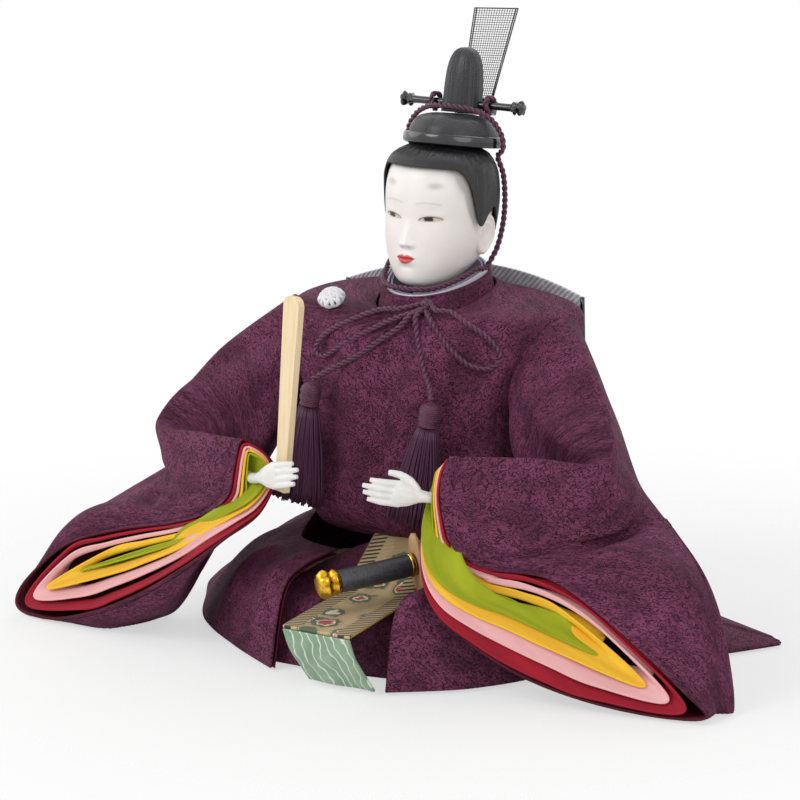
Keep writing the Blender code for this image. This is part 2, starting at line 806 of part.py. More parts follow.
right_sleeve_shares = (
    ((-0.83, -0.38, 1.10), (-0.86, -0.30, 1.02), (-0.87, -0.23, 0.93), (-0.88, -0.18, 0.85),
     (-0.88, -0.16, 0.78), (-0.88, -0.17, 0.72), (-0.88, -0.20, 0.68), (-0.86, -0.22, 0.65),
     (-0.82, -0.23, 0.63), (-0.77, -0.25, 0.63), (-0.70, -0.29, 0.63), (-0.62, -0.35, 0.66),
     (-0.560, -0.42, 0.73), (-0.545, -0.455, 0.82), (-0.570, -0.465, 0.92), (-0.66, -0.445, 1.04)),
    ((-0.990, -0.575, 0.845), (-0.97, -0.58, 0.74), (-0.96, -0.57, 0.65), (-0.98, -0.54, 0.58),
     (-1.09, -0.50, 0.54), (-1.23, -0.48, 0.49), (-1.38, -0.52, 0.38), (-1.48, -0.58, 0.20),
     (-1.50, -0.62, 0.030), (-1.30, -0.56, 0.012), (-1.10, -0.48, 0.014), (-0.96, -0.46, 0.08),
     (-0.86, -0.48, 0.22), (-0.77, -0.50, 0.41), (-0.745, -0.53, 0.60), (-0.79, -0.55, 0.78)),
    ((-0.72, -0.735, 0.86), (-0.735, -0.785, 0.76), (-0.745, -0.800, 0.66), (-0.80, -0.79, 0.58),
     (-0.96, -0.74, 0.53), (-1.18, -0.70, 0.47), (-1.40, -0.70, 0.33), (-1.53, -0.71, 0.15),
     (-1.545, -0.72, 0.028), (-1.34, -0.75, 0.012), (-1.10, -0.78, 0.020), (-0.90, -0.83, 0.10),
     (-0.74, -0.87, 0.22), (-0.63, -0.87, 0.38), (-0.56, -0.75, 0.56), (-0.62, -0.665, 0.78)),
    ((-0.444, -0.850, 0.880), (-0.470, -0.885, 0.77), (-0.490, -0.900, 0.66), (-0.600, -0.880, 0.57),
     (-0.790, -0.840, 0.50), (-1.060, -0.790, 0.43), (-1.330, -0.765, 0.330), (-1.540, -0.755, 0.150),
     (-1.575, -0.765, 0.036), (-1.420, -0.800, 0.012), (-1.180, -0.860, 0.080), (-0.920, -0.915, 0.200),
     (-0.680, -0.950, 0.350), (-0.480, -0.955, 0.490), (-0.360, -0.860, 0.600), (-0.352, -0.760, 0.755)),
)

SLEEVE_LOOP = 16
MOUTH_POINTS = 24
MOUTH_ROWS = 10
FINE_ROWS = 91
LAYER_DEPTH = 0.0090
LAYER_REACH = 0.0006
LAYER_GAP = 0.00042
FLOOR_LIFT = 0.0012
# How far each layer's lower lip rises and its upper lip falls across the mouth, and how both grow
# from the wrist to the tip
layer_rise_shares = (0.10, 0.22, 0.34, 0.44)
layer_fall_shares = (0.03, 0.10, 0.17, 0.25)
lip_shares = (0.0, 0.0, 0.0, 0.0, 0.10, 0.35, 0.80, 1.0, 1.0, 1.0, 1.0, 1.0)


armhole_stand_share = 1.6


def armhole_ring(side):
    turn = np.linspace(0, 2 * math.pi, SLEEVE_LOOP, endpoint=False)
    y = ARMHOLE_CENTRE_Y + ARMHOLE_DEPTH * np.sin(turn)
    z = ARMHOLE_CENTRE_Z + ARMHOLE_HEIGHT * np.cos(turn)
    x = [side * (robe_side(depth, height) + CLOTH * armhole_stand_share) for depth, height in zip(y, z)]
    return [(x[i], y[i], z[i]) for i in range(SLEEVE_LOOP)]


def sleeve_rings(side):
    shares = left_sleeve_shares if side > 0 else right_sleeve_shares
    rings = [armhole_ring(side)]
    for row in shares:
        rings.append([tuple(SLEEVE_DROP * share for share in point) for point in row])
    return rings


def sleeve_net(side):
    # The last row but one stands at the depth to which the layers run
    fine = net_of(sleeve_rings(side), MOUTH_POINTS, FINE_ROWS)
    step = np.linalg.norm(np.diff(fine, axis=0), axis=2)[::-1]
    run = np.concatenate([np.zeros((1, MOUTH_POINTS)), np.cumsum(step, axis=0)])
    net = np.zeros((MOUTH_ROWS, MOUTH_POINTS, 3))
    for j in range(MOUTH_POINTS):
        depth = np.interp(LAYER_DEPTH, run[:, j], np.arange(FINE_ROWS))
        places = np.append(np.linspace(0, FINE_ROWS - 1 - depth, MOUTH_ROWS - 1), FINE_ROWS - 1)
        for axis in range(3):
            net[:, j, axis] = np.interp(places, np.arange(FINE_ROWS), fine[:, j, axis])
    net[:, :, 2] = np.maximum(net[:, :, 2], FLOOR_LIFT)
    return net


def make_sleeve(side, name):
    return cloth_sheet(name, sleeve_net(side), CLOTH, "plum_jacquard", flip=side > 0)


def inward_steps(rows, side):
    # Ways from the points of the lip into the cloth, lengthened at the folds
    out = []
    for row in rows:
        edge = np.roll(row, -1, axis=0) - row
        out.append(edge)
    away = rows[1] - rows[0]
    steps = []
    for row, edge in zip(rows, out):
        face = np.cross(edge, (away + np.roll(away, -1, axis=0)) / 2) * side
        face /= np.linalg.norm(face, axis=1, keepdims=True)
        middle = face + np.roll(face, 1, axis=0)
        middle /= np.linalg.norm(middle, axis=1, keepdims=True)
        lean = np.maximum(np.sum(middle * face, axis=1, keepdims=True), MITER_LIMIT)
        steps.append(middle / lean)
    return steps


MITER_LIMIT = 0.5


def nested_loops(side, depth):
    # The layer's loop at its depth inside the sleeve and at its outer lip
    net = sleeve_net(side)
    mouth, inner = net[-1], net[-2]
    span = np.linalg.norm(mouth - inner, axis=1, keepdims=True)
    near = CLOTH + LAYER_GAP + (LINING + LAYER_GAP) * (depth - 1)
    rows = [inner, mouth]
    steps = inward_steps(rows, side)
    rows[1] = mouth + (mouth - inner) / span * LAYER_REACH * depth
    half = MOUTH_POINTS // 2
    last = int(layer_tip_places[depth - 1])
    part = layer_tip_places[depth - 1] - last
    loops = []
    for row, step in zip(rows, steps):
        moved = row + step * near
        rungs = row[:half:-1] - row[1:half]
        grow = np.array(lip_shares[1:half]).reshape(-1, 1)
        fronts = moved[1:half] + rungs * layer_fall_shares[depth - 1] * grow**2
        lowers = moved[:half:-1] - rungs * layer_rise_shares[depth - 1] * grow
        middles = (fronts + lowers) / 2
        tip = middles[last - 1] * (1 - part) + middles[last] * part
        loops.append(np.array([moved[0], *fronts[:last - 1], tip, *lowers[:last - 1][::-1]]))
    return np.array(loops)


# Places along the mouth, in its points, at which the layers come to their tips
layer_tip_places = (10.6, 10.0, 9.3, 8.5)


def make_sleeve_layer(side, name, depth, material):
    return cloth_sheet(name, nested_loops(side, depth), LINING, material, flip=side > 0)


# Skirt panels on the floor

left_skirt_shares = (
    # columns from the inner front edge round to the train tip; waist, knee, brow and hem
    ((0.305, -0.50, 0.335), (0.315, -0.78, 0.350), (0.290, -1.00, 0.320), (0.275, -1.065, 0.012)),
    ((0.40, -0.46, 0.350), (0.44, -0.71, 0.350), (0.46, -0.88, 0.290), (0.53, -0.895, 0.012)),
    ((0.46, -0.34, 0.375), (0.56, -0.50, 0.350), (0.62, -0.63, 0.250), (0.70, -0.680, 0.012)),
    ((0.47, -0.12, 0.446), (0.66, -0.20, 0.330), (0.78, -0.28, 0.200), (0.92, -0.340, 0.012)),
    ((0.46, 0.08, 0.446), (0.70, 0.06, 0.310), (0.94, -0.02, 0.150), (1.22, -0.080, 0.012)),
    ((0.42, 0.26, 0.370), (0.62, 0.24, 0.270), (0.96, 0.20, 0.090), (1.42, 0.175, 0.014)),
)

right_skirt_shares = (
    ((-0.22, -0.50, 0.370), (-0.23, -0.76, 0.370), (-0.24, -0.92, 0.300), (-0.26, -0.980, 0.012)),
    ((-0.36, -0.46, 0.375), (-0.41, -0.66, 0.360), (-0.46, -0.78, 0.270), (-0.54, -0.770, 0.012)),
    ((-0.46, -0.34, 0.375), (-0.56, -0.48, 0.340), (-0.66, -0.54, 0.230), (-0.82, -0.510, 0.012)),
    ((-0.47, -0.12, 0.446), (-0.66, -0.18, 0.320), (-0.80, -0.22, 0.190), (-0.98, -0.220, 0.012)),
    ((-0.46, 0.08, 0.446), (-0.68, 0.08, 0.300), (-0.88, 0.06, 0.150), (-1.10, 0.060, 0.012)),
    ((-0.42, 0.26, 0.370), (-0.58, 0.28, 0.260), (-0.80, 0.32, 0.110), (-1.06, 0.360, 0.014)),
)

back_skirt_shares = (
    ((0.40, 0.280, 0.370), (0.60, 0.270, 0.265), (0.94, 0.250, 0.090), (1.36, 0.235, 0.014)),
    ((0.22, 0.263, 0.446), (0.32, 0.44, 0.250), (0.46, 0.56, 0.110), (0.62, 0.66, 0.012)),
    ((0.00, 0.285, 0.446), (0.00, 0.48, 0.250), (0.00, 0.62, 0.110), (0.00, 0.74, 0.012)),
    ((-0.22, 0.263, 0.446), (-0.31, 0.44, 0.250), (-0.42, 0.56, 0.110), (-0.56, 0.66, 0.012)),
    ((-0.40, 0.285, 0.370), (-0.56, 0.310, 0.255), (-0.78, 0.360, 0.110), (-1.02, 0.410, 0.014)),
)


def skirt_net(shares, along, across=9):
    rows = [[tuple(SKIRT_LENGTH * share for share in point) for point in column] for column in shares]
    return net_of(rows, across, along, closed=False)


def make_skirt(name, shares, flip, along):
    return cloth_sheet(name, skirt_net(shares, along), CLOTH, "plum_jacquard", closed=False, flip=flip)


def make_skirt_lining(name, shares, flip, along):
    # Crimson lining under the cloth, one clearance away
    net = skirt_net(shares, along)
    side = 1 if flip else -1
    inner = net - net_normals(net, False) * side * (CLOTH + GAP * 2)
    inner[:, :, 2] = np.maximum(inner[:, :, 2], LINING + GAP)
    return cloth_sheet(name, inner, LINING, "crimson_cloth", closed=False, flip=flip)


# Folded legs in their trousers

leg_share = 0.098
# Hip, knee and shin
leg_line_shares = ((0.34, 0.05, 0.0), (0.46, -0.42, 0.0), (0.30, -0.56, 0.0))


def make_leg(side, name):
    # Straw-stuffed leg of the seated doll, a tapered roll from hip to crossed knee
    radius = SKIRT_LENGTH * leg_share
    bed = BOARD_THICKNESS + GAP + radius
    route = smooth_points(np.array(leg_line_shares) * (side, 1, 1), 7) * SKIRT_LENGTH
    route[:, 2] = bed
    rolls = tube(name, route, radius, "white_cloth", 3, radii=[0.7, 1.0, 1.0, 1.0, 1.0, 0.95, 0.7])
    return rolls


# Collars and toggle

collar_rise_share = 1.5
collar_dip_share = 0.4
collar_flare_share = 1.04


def collar_net(step, rise, count=20):
    # Standing band about the neck, open a little at the wearer's right shoulder
    top = ring_loop(COLLAR_HALF - step, COLLAR_FRONT - step, COLLAR_BACK - step, count)
    foot = ring_loop(COLLAR_HALF - step, COLLAR_FRONT - step, COLLAR_BACK - step, count)
    slope = (top[:, 1] + COLLAR_FRONT) / (COLLAR_FRONT + COLLAR_BACK)
    lift = COLLAR_TOP_FRONT + (COLLAR_TOP_BACK - COLLAR_TOP_FRONT) * slope
    top[:, 2] = lift + rise * (slope * collar_rise_share - collar_dip_share)
    foot[:, 2] = lift - COLLAR_RISE
    foot[:, :2] *= collar_flare_share
    return np.array([foot, (foot + top) / 2, top])


def make_collar(name, step, rise, wall, material):
    return cloth_sheet(name, collar_net(step, rise), wall, material, flip=True)


# Head, hair and neck peg

head_ring_shares = (
    # front height, back height, front depth, back depth, half width
    (-0.300, -0.300, 0.400, 0.400, 0.440),
    (-0.030, 0.080, 0.480, 0.440, 0.470),
    (0.000, 0.130, 0.760, 0.550, 0.560),
    (0.035, 0.180, 0.940, 0.680, 0.680),
    (0.120, 0.250, 1.000, 0.800, 0.830),
    (0.220, 0.330, 1.015, 0.880, 0.920),
    (0.330, 0.410, 1.010, 0.950, 0.975),
    (0.480, 0.520, 0.990, 1.030, 1.000),
    (0.620, 0.630, 1.010, 1.080, 1.010),
    (0.760, 0.760, 1.000, 1.080, 0.985),
    (0.880, 0.870, 0.900, 1.000, 0.900),
    (0.955, 0.945, 0.640, 0.800, 0.690),
    (0.995, 0.990, 0.300, 0.420, 0.360),
)
# Row of the head's rings at which the hair ends, at each point from the forehead to the nape
hair_edge_shares = (10.0, 10.0, 10.0, 9.95, 9.9, 9.7, 8.8, 6.8, 7.3, 7.6, 6.7, 5.9, 5.4, 5.1, 4.9, 4.8, 4.8)
hair_top_share = 11.9
nose_tip_share = 0.30
nose_root_share = 0.52
HEAD_POINTS = 32


def head_turn():
    # The head stands turned a little to its right and tipped on its neck
    pivot = Vector((0, HEAD_AXIS_Y, HEAD_CHIN))
    turn = Matrix.Rotation(HEAD_YAW, 4, "Z") @ Matrix.Rotation(HEAD_ROLL, 4, "Y")
    return Matrix.Translation(pivot) @ turn @ Matrix.Translation(-pivot)


def head_net(along):
    rings = []
    for low, high, front, back, half in head_ring_shares:
        ring = ring_loop(HEAD_HALF * half, HEAD_FRONT * front, HEAD_BACK * back, HEAD_POINTS, 2.1)
        slope = (ring[:, 1] + HEAD_FRONT * front) / (HEAD_FRONT * front + HEAD_BACK * back)
        ring[:, 2] = HEAD_CHIN + (HEAD_TOP - HEAD_CHIN) * (low + (high - low) * slope)
        ring[:, 1] += HEAD_CENTRE_Y
        rings.append(ring)
    rings[0][:, 2] = CORE_TOP + GAP * 2
    return smooth_points(np.array(rings), along)


def add_nose(net):
    span = HEAD_TOP - HEAD_CHIN
    tip = HEAD_CHIN + span * nose_tip_share
    root = HEAD_CHIN + span * nose_root_share
    x, y, z = net[:, :, 0], net[:, :, 1], net[:, :, 2]
    above = np.clip((root - z) / (root - tip), 0, 1)
    below = np.exp(-((tip - z) / NOSE_HALF) ** 2)
    ridge = np.exp(-(x / NOSE_HALF) ** 2) * np.where(z > tip, above, below)
    net[:, :, 1] = np.where(y < HEAD_CENTRE_Y, y - NOSE_DEPTH * ridge, y)
    return net


def make_ear(side):
    bpy.ops.mesh.primitive_uv_sphere_add(segments=12, ring_count=8, radius=1)
    ear = bpy.context.object
    ear.data.transform(Matrix.Diagonal((EAR_WALL, EAR_DEPTH / 2, EAR_LENGTH / 2, 1)))
    place(ear, "white_skin")
    height = HEAD_CHIN + (HEAD_TOP - HEAD_CHIN) * ear_height_share
    centre = Vector((side * HEAD_HALF, HEAD_CENTRE_Y + EAR_DEPTH * ear_back_share, height))
    flare = Matrix.Rotation(side * ear_flare, 4, "Z") @ Matrix.Rotation(-ear_lean, 4, "X")
    turn_about(ear, Matrix.Translation(centre) @ flare)
    return ear


ear_height_share = 0.37
ear_back_share = 0.3
ear_flare = math.radians(-24)
ear_lean = math.radians(10)


def make_head():
    net = add_nose(head_net(16))
    head = solid_net("head", net, "white_skin", flip=True)
    for side in (1, -1):
        head = boolean(head, make_ear(side), "UNION")
    turn_about(head, head_turn())
    socket = bolt_hole("peg_hole", PEG_RADIUS + GAP, CORE_TOP - OVERRUN, HEAD_CHIN)
    head = boolean(head, socket, "DIFFERENCE")
    head.data.shade_smooth()
    head.data.set_sharp_from_angle(angle=math.radians(50))
    return head


def bolt_hole(name, radius, low, high):
    bpy.ops.mesh.primitive_cylinder_add(vertices=16, radius=radius, depth=high - low,
                                        location=(0, HEAD_AXIS_Y, (low + high) / 2))
    item = bpy.context.object
    item.name = name
    place(item, "white_skin", cutters)
    apply_modifiers(item)
    return item


def make_neck_peg():
    low, high = PEG_FOOT, HEAD_CHIN - GAP
    bpy.ops.mesh.primitive_cylinder_add(vertices=16, radius=PEG_RADIUS, depth=high - low,
                                        location=(0, HEAD_AXIS_Y, (low + high) / 2))
    peg = bpy.context.object
    peg.name = "neck_peg"
    place(peg, "pale_wood")
    peg.data.transform(Matrix.Identity(4))
    return peg


def hair_net(along, lift):
    fine_step = 5
    fine = head_net((len(head_ring_shares) - 1) * fine_step + 1)
    edge = np.array(hair_edge_shares + hair_edge_shares[-2:0:-1])
    rows = []
    for part in np.linspace(0, 1, along):
        place_row = (edge + (hair_top_share - edge) * part) * fine_step
        cell = np.clip(np.floor(place_row).astype(int), 0, len(fine) - 2)
        share = (place_row - cell).reshape(-1, 1)
        column = np.arange(HEAD_POINTS)
        rows.append(fine[cell, column] * (1 - share) + fine[cell + 1, column] * share)
    net = np.array(rows)
    centre = np.array((0, HEAD_CENTRE_Y, HEAD_CHIN + (HEAD_TOP - HEAD_CHIN) * hair_centre_share))
    away = net - centre
    rise = np.minimum(1, hair_hem_share + np.linspace(0, 1, along) * 4).reshape(-1, 1, 1)
    return net + away / np.linalg.norm(away, axis=2, keepdims=True) * lift * rise


hair_centre_share = 0.45
hair_hem_share = 0.90


def make_hair():
    hair = cloth_sheet("hair", hair_net(6, HAIR_LIFT), HAIR_WALL, "black_silk")
    return turn_about(hair, head_turn())


# Crown of lacquered gauze

dome_shares = ((1.0, 0.0), (0.99, 0.30), (0.94, 0.58), (0.81, 0.82), (0.58, 0.95), (0.30, 1.0), (0.05, 1.01))
lobe_shares = ((1.04, 0.05), (1.0, 0.22), (0.97, 0.45), (0.91, 0.66), (0.79, 0.82), (0.60, 0.93), (0.36, 0.985),
               (0.12, 1.0))
lobe_foot_share = 1.06
crown_back_share = 0.50
CROWN_PITCH = math.radians(-7.0)
CROWN_ROLL = math.radians(-1.0)
STREAMER_LEAN = math.radians(-20.0)
STREAMER_ROLL = math.radians(-3.0)
SOCKET_WALL = 0.0012
SOCKET_HEIGHT = 0.0055


def crown_turn():
    centre = Vector((0, HEAD_CENTRE_Y + CROWN_HALF * crown_back_share, CROWN_FOOT))
    tip = Matrix.Rotation(CROWN_PITCH, 4, "X") @ Matrix.Rotation(CROWN_ROLL, 4, "Y")
    return head_turn() @ Matrix.Translation(centre) @ tip


def crown_loop(share, height, grow=0.0):
    ring = ring_loop(CROWN_HALF * share + grow, CROWN_LENGTH * share + grow, CROWN_LENGTH * share + grow, 20)
    ring[:, 2] = height
    return ring


def make_crown_dome():
    net = np.array([crown_loop(share, CROWN_RISE * height) for share, height in dome_shares])
    dome = cloth_sheet("crown_dome", net, CROWN_WALL, "black_gauze")
    return turn_about(dome, crown_turn())


# Height and bulge of the band's rows
rim_shares = ((0.0, 0.0), (0.3, 0.5), (0.7, 0.5), (1.0, 0.0))
rim_drop_share = 0.2


def make_crown_rim():
    # Glossy band round the foot of the dome, bulging at mid height
    grow = RIM_WALL + GAP
    net = np.array([crown_loop(1.0, RIM_HEIGHT * (height - rim_drop_share), grow + RIM_WALL * bulge)
                    for height, bulge in rim_shares])
    rim = cloth_sheet("crown_rim", net, RIM_WALL, "black_lacquer")
    return turn_about(rim, crown_turn())


def lobe_ring(share, height):
    ring = ring_loop(LOBE_HALF * share, LOBE_DEPTH * share, LOBE_DEPTH * share, 16, 2.5)
    ring[:, 1] += LOBE_BACK
    ring[:, 2] = height
    return ring


def make_crown_lobe():
    foot = CROWN_RISE
    rows = [lobe_ring(0.5, foot + GAP * 2), lobe_ring(lobe_foot_share, foot + GAP * 2)]
    rows += [lobe_ring(share, foot + LOBE_HEIGHT * height) for share, height in lobe_shares]
    lobe = solid_net("crown_lobe", np.array(rows), "black_gauze")
    weld(lobe)
    hole = crown_rod("pin_hole", LOBE_HALF + OVERRUN * 2, PIN_RADIUS + GAP)
    lobe = boolean(lobe, hole, "DIFFERENCE")
    lobe.data.shade_smooth()
    lobe.data.set_sharp_from_angle(angle=math.radians(40))
    return turn_about(lobe, crown_turn())


def crown_rod(name, half, radius):
    bpy.ops.mesh.primitive_cylinder_add(vertices=12, radius=radius, depth=half * 2)
    rod = bpy.context.object
    rod.name = name
    place(rod, "black_lacquer")
    turn = Matrix.Translation((0, LOBE_BACK, CROWN_RISE + PIN_RISE)) @ Matrix.Rotation(math.pi / 2, 4, "Y")
    return turn_about(rod, turn)


pin_rod_share = 0.755


def make_crown_pin():
    # Rod through the lobe with a stepped bud at each end
    bud = ((0.0, 1.0), (0.7, 0.99), (1.0, 0.955), (1.0, 0.91), (0.7, 0.875), (0.88, 0.85), (0.88, 0.82), (0.6, 0.79))
    profile = [(PIN_KNOB * radius, PIN_HALF * reach) for radius, reach in bud]
    profile += [(PIN_RADIUS, PIN_HALF * pin_rod_share)]
    profile += [(radius, -reach) for radius, reach in reversed(profile)]
    pin = turned("crown_pin", profile, 10, "black_lacquer")
    turn = Matrix.Translation((0, LOBE_BACK, CROWN_RISE + PIN_RISE)) @ Matrix.Rotation(math.pi / 2, 4, "Y")
    return turn_about(pin, crown_turn() @ turn)


def socket_depth():
    return STREAMER_WALL + GAP * 4 + SOCKET_WALL * 2


def streamer_turn():
    back = LOBE_BACK + LOBE_DEPTH * lobe_foot_share + socket_depth() / 2 + GAP
    foot = CROWN_RISE + GAP
    lean = Matrix.Rotation(STREAMER_LEAN, 4, "X") @ Matrix.Rotation(STREAMER_ROLL, 4, "Y")
    return crown_turn() @ Matrix.Translation((0, back, foot)) @ lean


def make_streamer_socket():
    flare = (STREAMER_TOP_HALF - STREAMER_FOOT_HALF) * (SOCKET_HEIGHT + OVERRUN) / STREAMER_HEIGHT
    bore_half = STREAMER_FOOT_HALF + flare + GAP
    half = bore_half + SOCKET_WALL
    size = (half * 2, socket_depth(), SOCKET_HEIGHT)
    block = box("streamer_socket", size, (0, 0, SOCKET_HEIGHT / 2 + GAP), "black_lacquer")
    slot_size = (bore_half * 2, STREAMER_WALL + GAP * 4, SOCKET_HEIGHT + OVERRUN * 2)
    slot = box("slot", slot_size, (0, 0, SOCKET_HEIGHT / 2), "black_lacquer")
    block = boolean(block, slot, "DIFFERENCE")
    return turn_about(block, streamer_turn())


def make_streamer():
    # Flat gauze strip, wider at the top, with bound edges and square open meshes
    across = lattice_lines(STREAMER_COLUMNS)
    up = lattice_lines(STREAMER_ROWS)
    vertices, faces = [], []
    for row in up:
        half = STREAMER_FOOT_HALF + (STREAMER_TOP_HALF - STREAMER_FOOT_HALF) * row
        for column in across:
            vertices.append((half * (2 * column - 1), 0, GAP + STREAMER_HEIGHT * row))
    wide = len(across)
    for i in range(len(up) - 1):
        for j in range(wide - 1):
            if i % 2 and j % 2:
                continue
            corner = i * wide + j
            faces.append((corner, corner + 1, corner + wide + 1, corner + wide))
    strip = new_mesh("crown_streamer", vertices, faces, "black_gauze", smooth=False)
    wall = strip.modifiers.new("wall", "SOLIDIFY")
    wall.thickness = STREAMER_WALL
    wall.offset = 0
    apply_modifiers(strip)
    return turn_about(strip, streamer_turn())


def lattice_lines(cells):
    # Edges of rails and meshes as shares of the whole, starting and ending with a border rail
    border = STREAMER_BORDER / (STREAMER_TOP_HALF * 2)
    rail = STREAMER_RAIL / (STREAMER_HEIGHT / STREAMER_ROWS) / cells
    mesh = (1 - border * 2 - rail * (cells - 1)) / cells
    lines = [0, border]
    for index in range(cells):
        lines.append(lines[-1] + mesh)
        lines.append(lines[-1] + rail)
    lines[-1] = 1.0
    return lines


# Cords and tassels. Route points are chosen by hand in metres, with the head straight

# Angle round the head from the face, and height, where the cord lies on the hair or the skin
cord_side_places = ((100, 0.1510), (106, 0.1542), (111, 0.1585), (114, 0.1660), (116, 0.1740), (117, 0.1820),
                    (117, 0.1880))
cord_chin_route = ((0.0, -0.0298, 0.1416), (0.0070, -0.0287, 0.1418), (0.0125, -0.0240, 0.1426),
                   (0.0167, -0.0157, 0.1450), (0.0196, -0.0066, 0.1482))
# Over the rim and the dome to the front of the lobe, from the crown's own foot centre
cord_crown_route = ((0.0222, 0.0010, -0.0010), (0.0222, 0.0005, 0.0030), (0.0203, -0.0005, 0.0070),
                    (0.0172, -0.0015, 0.0106), (0.0129, -0.0032, 0.0128), (0.0088, -0.0043, 0.0138),
                    (0.0048, -0.0053, 0.0142), (0.0, -0.0057, 0.0143))


def mirrored(route):
    # The route to the middle and back along the other side
    return list(route) + [(-x, y, z) for x, y, z in reversed(route[:-1])]


def head_point(angle, height, lift):
    # Point at the lift off the skin, at an angle round the head and a height
    net = head_net(61)
    column = angle / 360 * HEAD_POINTS
    low = int(column)
    part = column - low
    line = net[:, low] * (1 - part) + net[:, low + 1] * part
    spot = np.array([np.interp(height, line[:, 2], line[:, axis]) for axis in range(3)])
    centre = np.array((0, HEAD_CENTRE_Y, HEAD_CHIN + (HEAD_TOP - HEAD_CHIN) * hair_centre_share))
    away = spot - centre
    return tuple(spot + away / np.linalg.norm(away) * lift)


def head_cord_route():
    lift = HAIR_LIFT + CORD_RADIUS + GAP * 4
    side = [head_point(angle, height, lift) for angle, height in cord_side_places]
    place_crown = head_turn().inverted() @ crown_turn()
    top = [tuple(place_crown @ Vector(point)) for point in cord_crown_route]
    return list(cord_chin_route) + side + top


def make_head_cord():
    points = smooth_points(mirrored(head_cord_route())[:-1], 60, closed=True)
    cord = tube("head_cord", points, CORD_RADIUS, "plum_cord", 1, closed=True)
    return turn_about(cord, head_turn())


def make_cord_ring(side, name):
    # Turn of the cord round the pin beside the lobe
    bpy.ops.mesh.primitive_torus_add(major_radius=RING_RADIUS, minor_radius=CORD_RADIUS, major_segments=16,
                                     minor_segments=6)
    ring = bpy.context.object
    ring.name = name
    place(ring, "plum_cord")
    spot = (side * RING_REACH, LOBE_BACK, CROWN_RISE + PIN_RISE)
    turn = Matrix.Translation(spot) @ Matrix.Rotation(math.pi / 2, 4, "Y")
    return turn_about(ring, crown_turn() @ turn)


knot_guess = (0.0120, -0.0370, 0.1420)
bow_left_guesses = ((0.0050, -0.045, 0.1335), (-0.0020, -0.046, 0.1305), (-0.0100, -0.047, 0.1265),
                    (-0.0200, -0.047, 0.1205), (-0.0285, -0.045, 0.1150), (-0.0340, -0.044, 0.1170),
                    (-0.0290, -0.044, 0.1235), (-0.0180, -0.045, 0.1300), (-0.0060, -0.044, 0.1355),
                    (0.0030, -0.042, 0.1395))
bow_right_guesses = ((0.0165, -0.045, 0.1335), (0.0205, -0.045, 0.1280), (0.0265, -0.045, 0.1215),
                     (0.0330, -0.044, 0.1165), (0.0400, -0.041, 0.1150), (0.0445, -0.039, 0.1195),
                     (0.0395, -0.040, 0.1265), (0.0310, -0.042, 0.1325), (0.0235, -0.041, 0.1370),
                     (0.0175, -0.040, 0.1400))
bow_stands = (1.0, 0.75, 0.6, 0.6, 0.6, 0.6, 0.6, 0.6, 0.75, 1.0)
tail_left_guesses = ((0.0110, -0.045, 0.1335), (0.0118, -0.046, 0.1290), (0.0140, -0.047, 0.1210),
                     (0.0170, -0.048, 0.1130), (0.0195, -0.048, 0.1075), (0.0205, -0.048, 0.1035))
tail_left_stands = (1.4, 1.0, 0.8, 1.1, 2.6, 4.1)
tail_right_guesses = ((0.0085, -0.045, 0.1335), (0.0040, -0.046, 0.1285), (-0.0030, -0.047, 0.1235),
                      (-0.0120, -0.047, 0.1170), (-0.0210, -0.046, 0.1110), (-0.0280, -0.046, 0.1065))
tail_right_stands = (1.4, 1.1, 0.9, 1.1, 2.4, 3.8)


def bow_knot():
    stand = KNOT_RADIUS / CORD_RADIUS / 2
    return Vector(lay_on_robe([knot_guess], [stand])[0])


def make_chin_bow():
    # Knot under the chin with its two loops and the two tails that carry the tassels
    knot = bow_knot()
    bpy.ops.mesh.primitive_uv_sphere_add(segments=10, ring_count=6, radius=KNOT_RADIUS)
    bow = bpy.context.object
    bow.name = "chin_bow"
    place(bow, "plum_cord")
    turn_about(bow, Matrix.Translation(knot))
    routes = []
    for guesses in (bow_left_guesses, bow_right_guesses):
        loop = [Vector(point) for point in lay_on_robe(guesses, bow_stands)]
        apart = (loop[0] - loop[-1]).normalized() * CORD_RADIUS * knot_spread_share
        loop = [knot + apart] + loop + [knot - apart]
        routes.append(smooth_points([tuple(point) for point in loop], 18))
    for guesses, stands in ((tail_left_guesses, tail_left_stands), (tail_right_guesses, tail_right_stands)):
        routes.append(smooth_points([tuple(knot)] + lay_on_robe(guesses, stands), 10))
    for route in routes:
        bow = boolean(bow, tube("strand", route, CORD_RADIUS, "plum_cord", 1), "UNION")
    weld(bow)
    bow.data.shade_smooth()
    return bow


knot_spread_share = 1.25


def tassel_pivot(route):
    return Vector(route[-1]) - Vector((0, 0, CORD_RADIUS))


def tassel_turn(route):
    drop = Matrix.Translation((0, 0, -TASSEL_HEAD_HEIGHT / 2 - GAP))
    return Matrix.Translation(tassel_pivot(route)) @ Matrix.Rotation(tassel_tilt, 4, "Y") @ drop


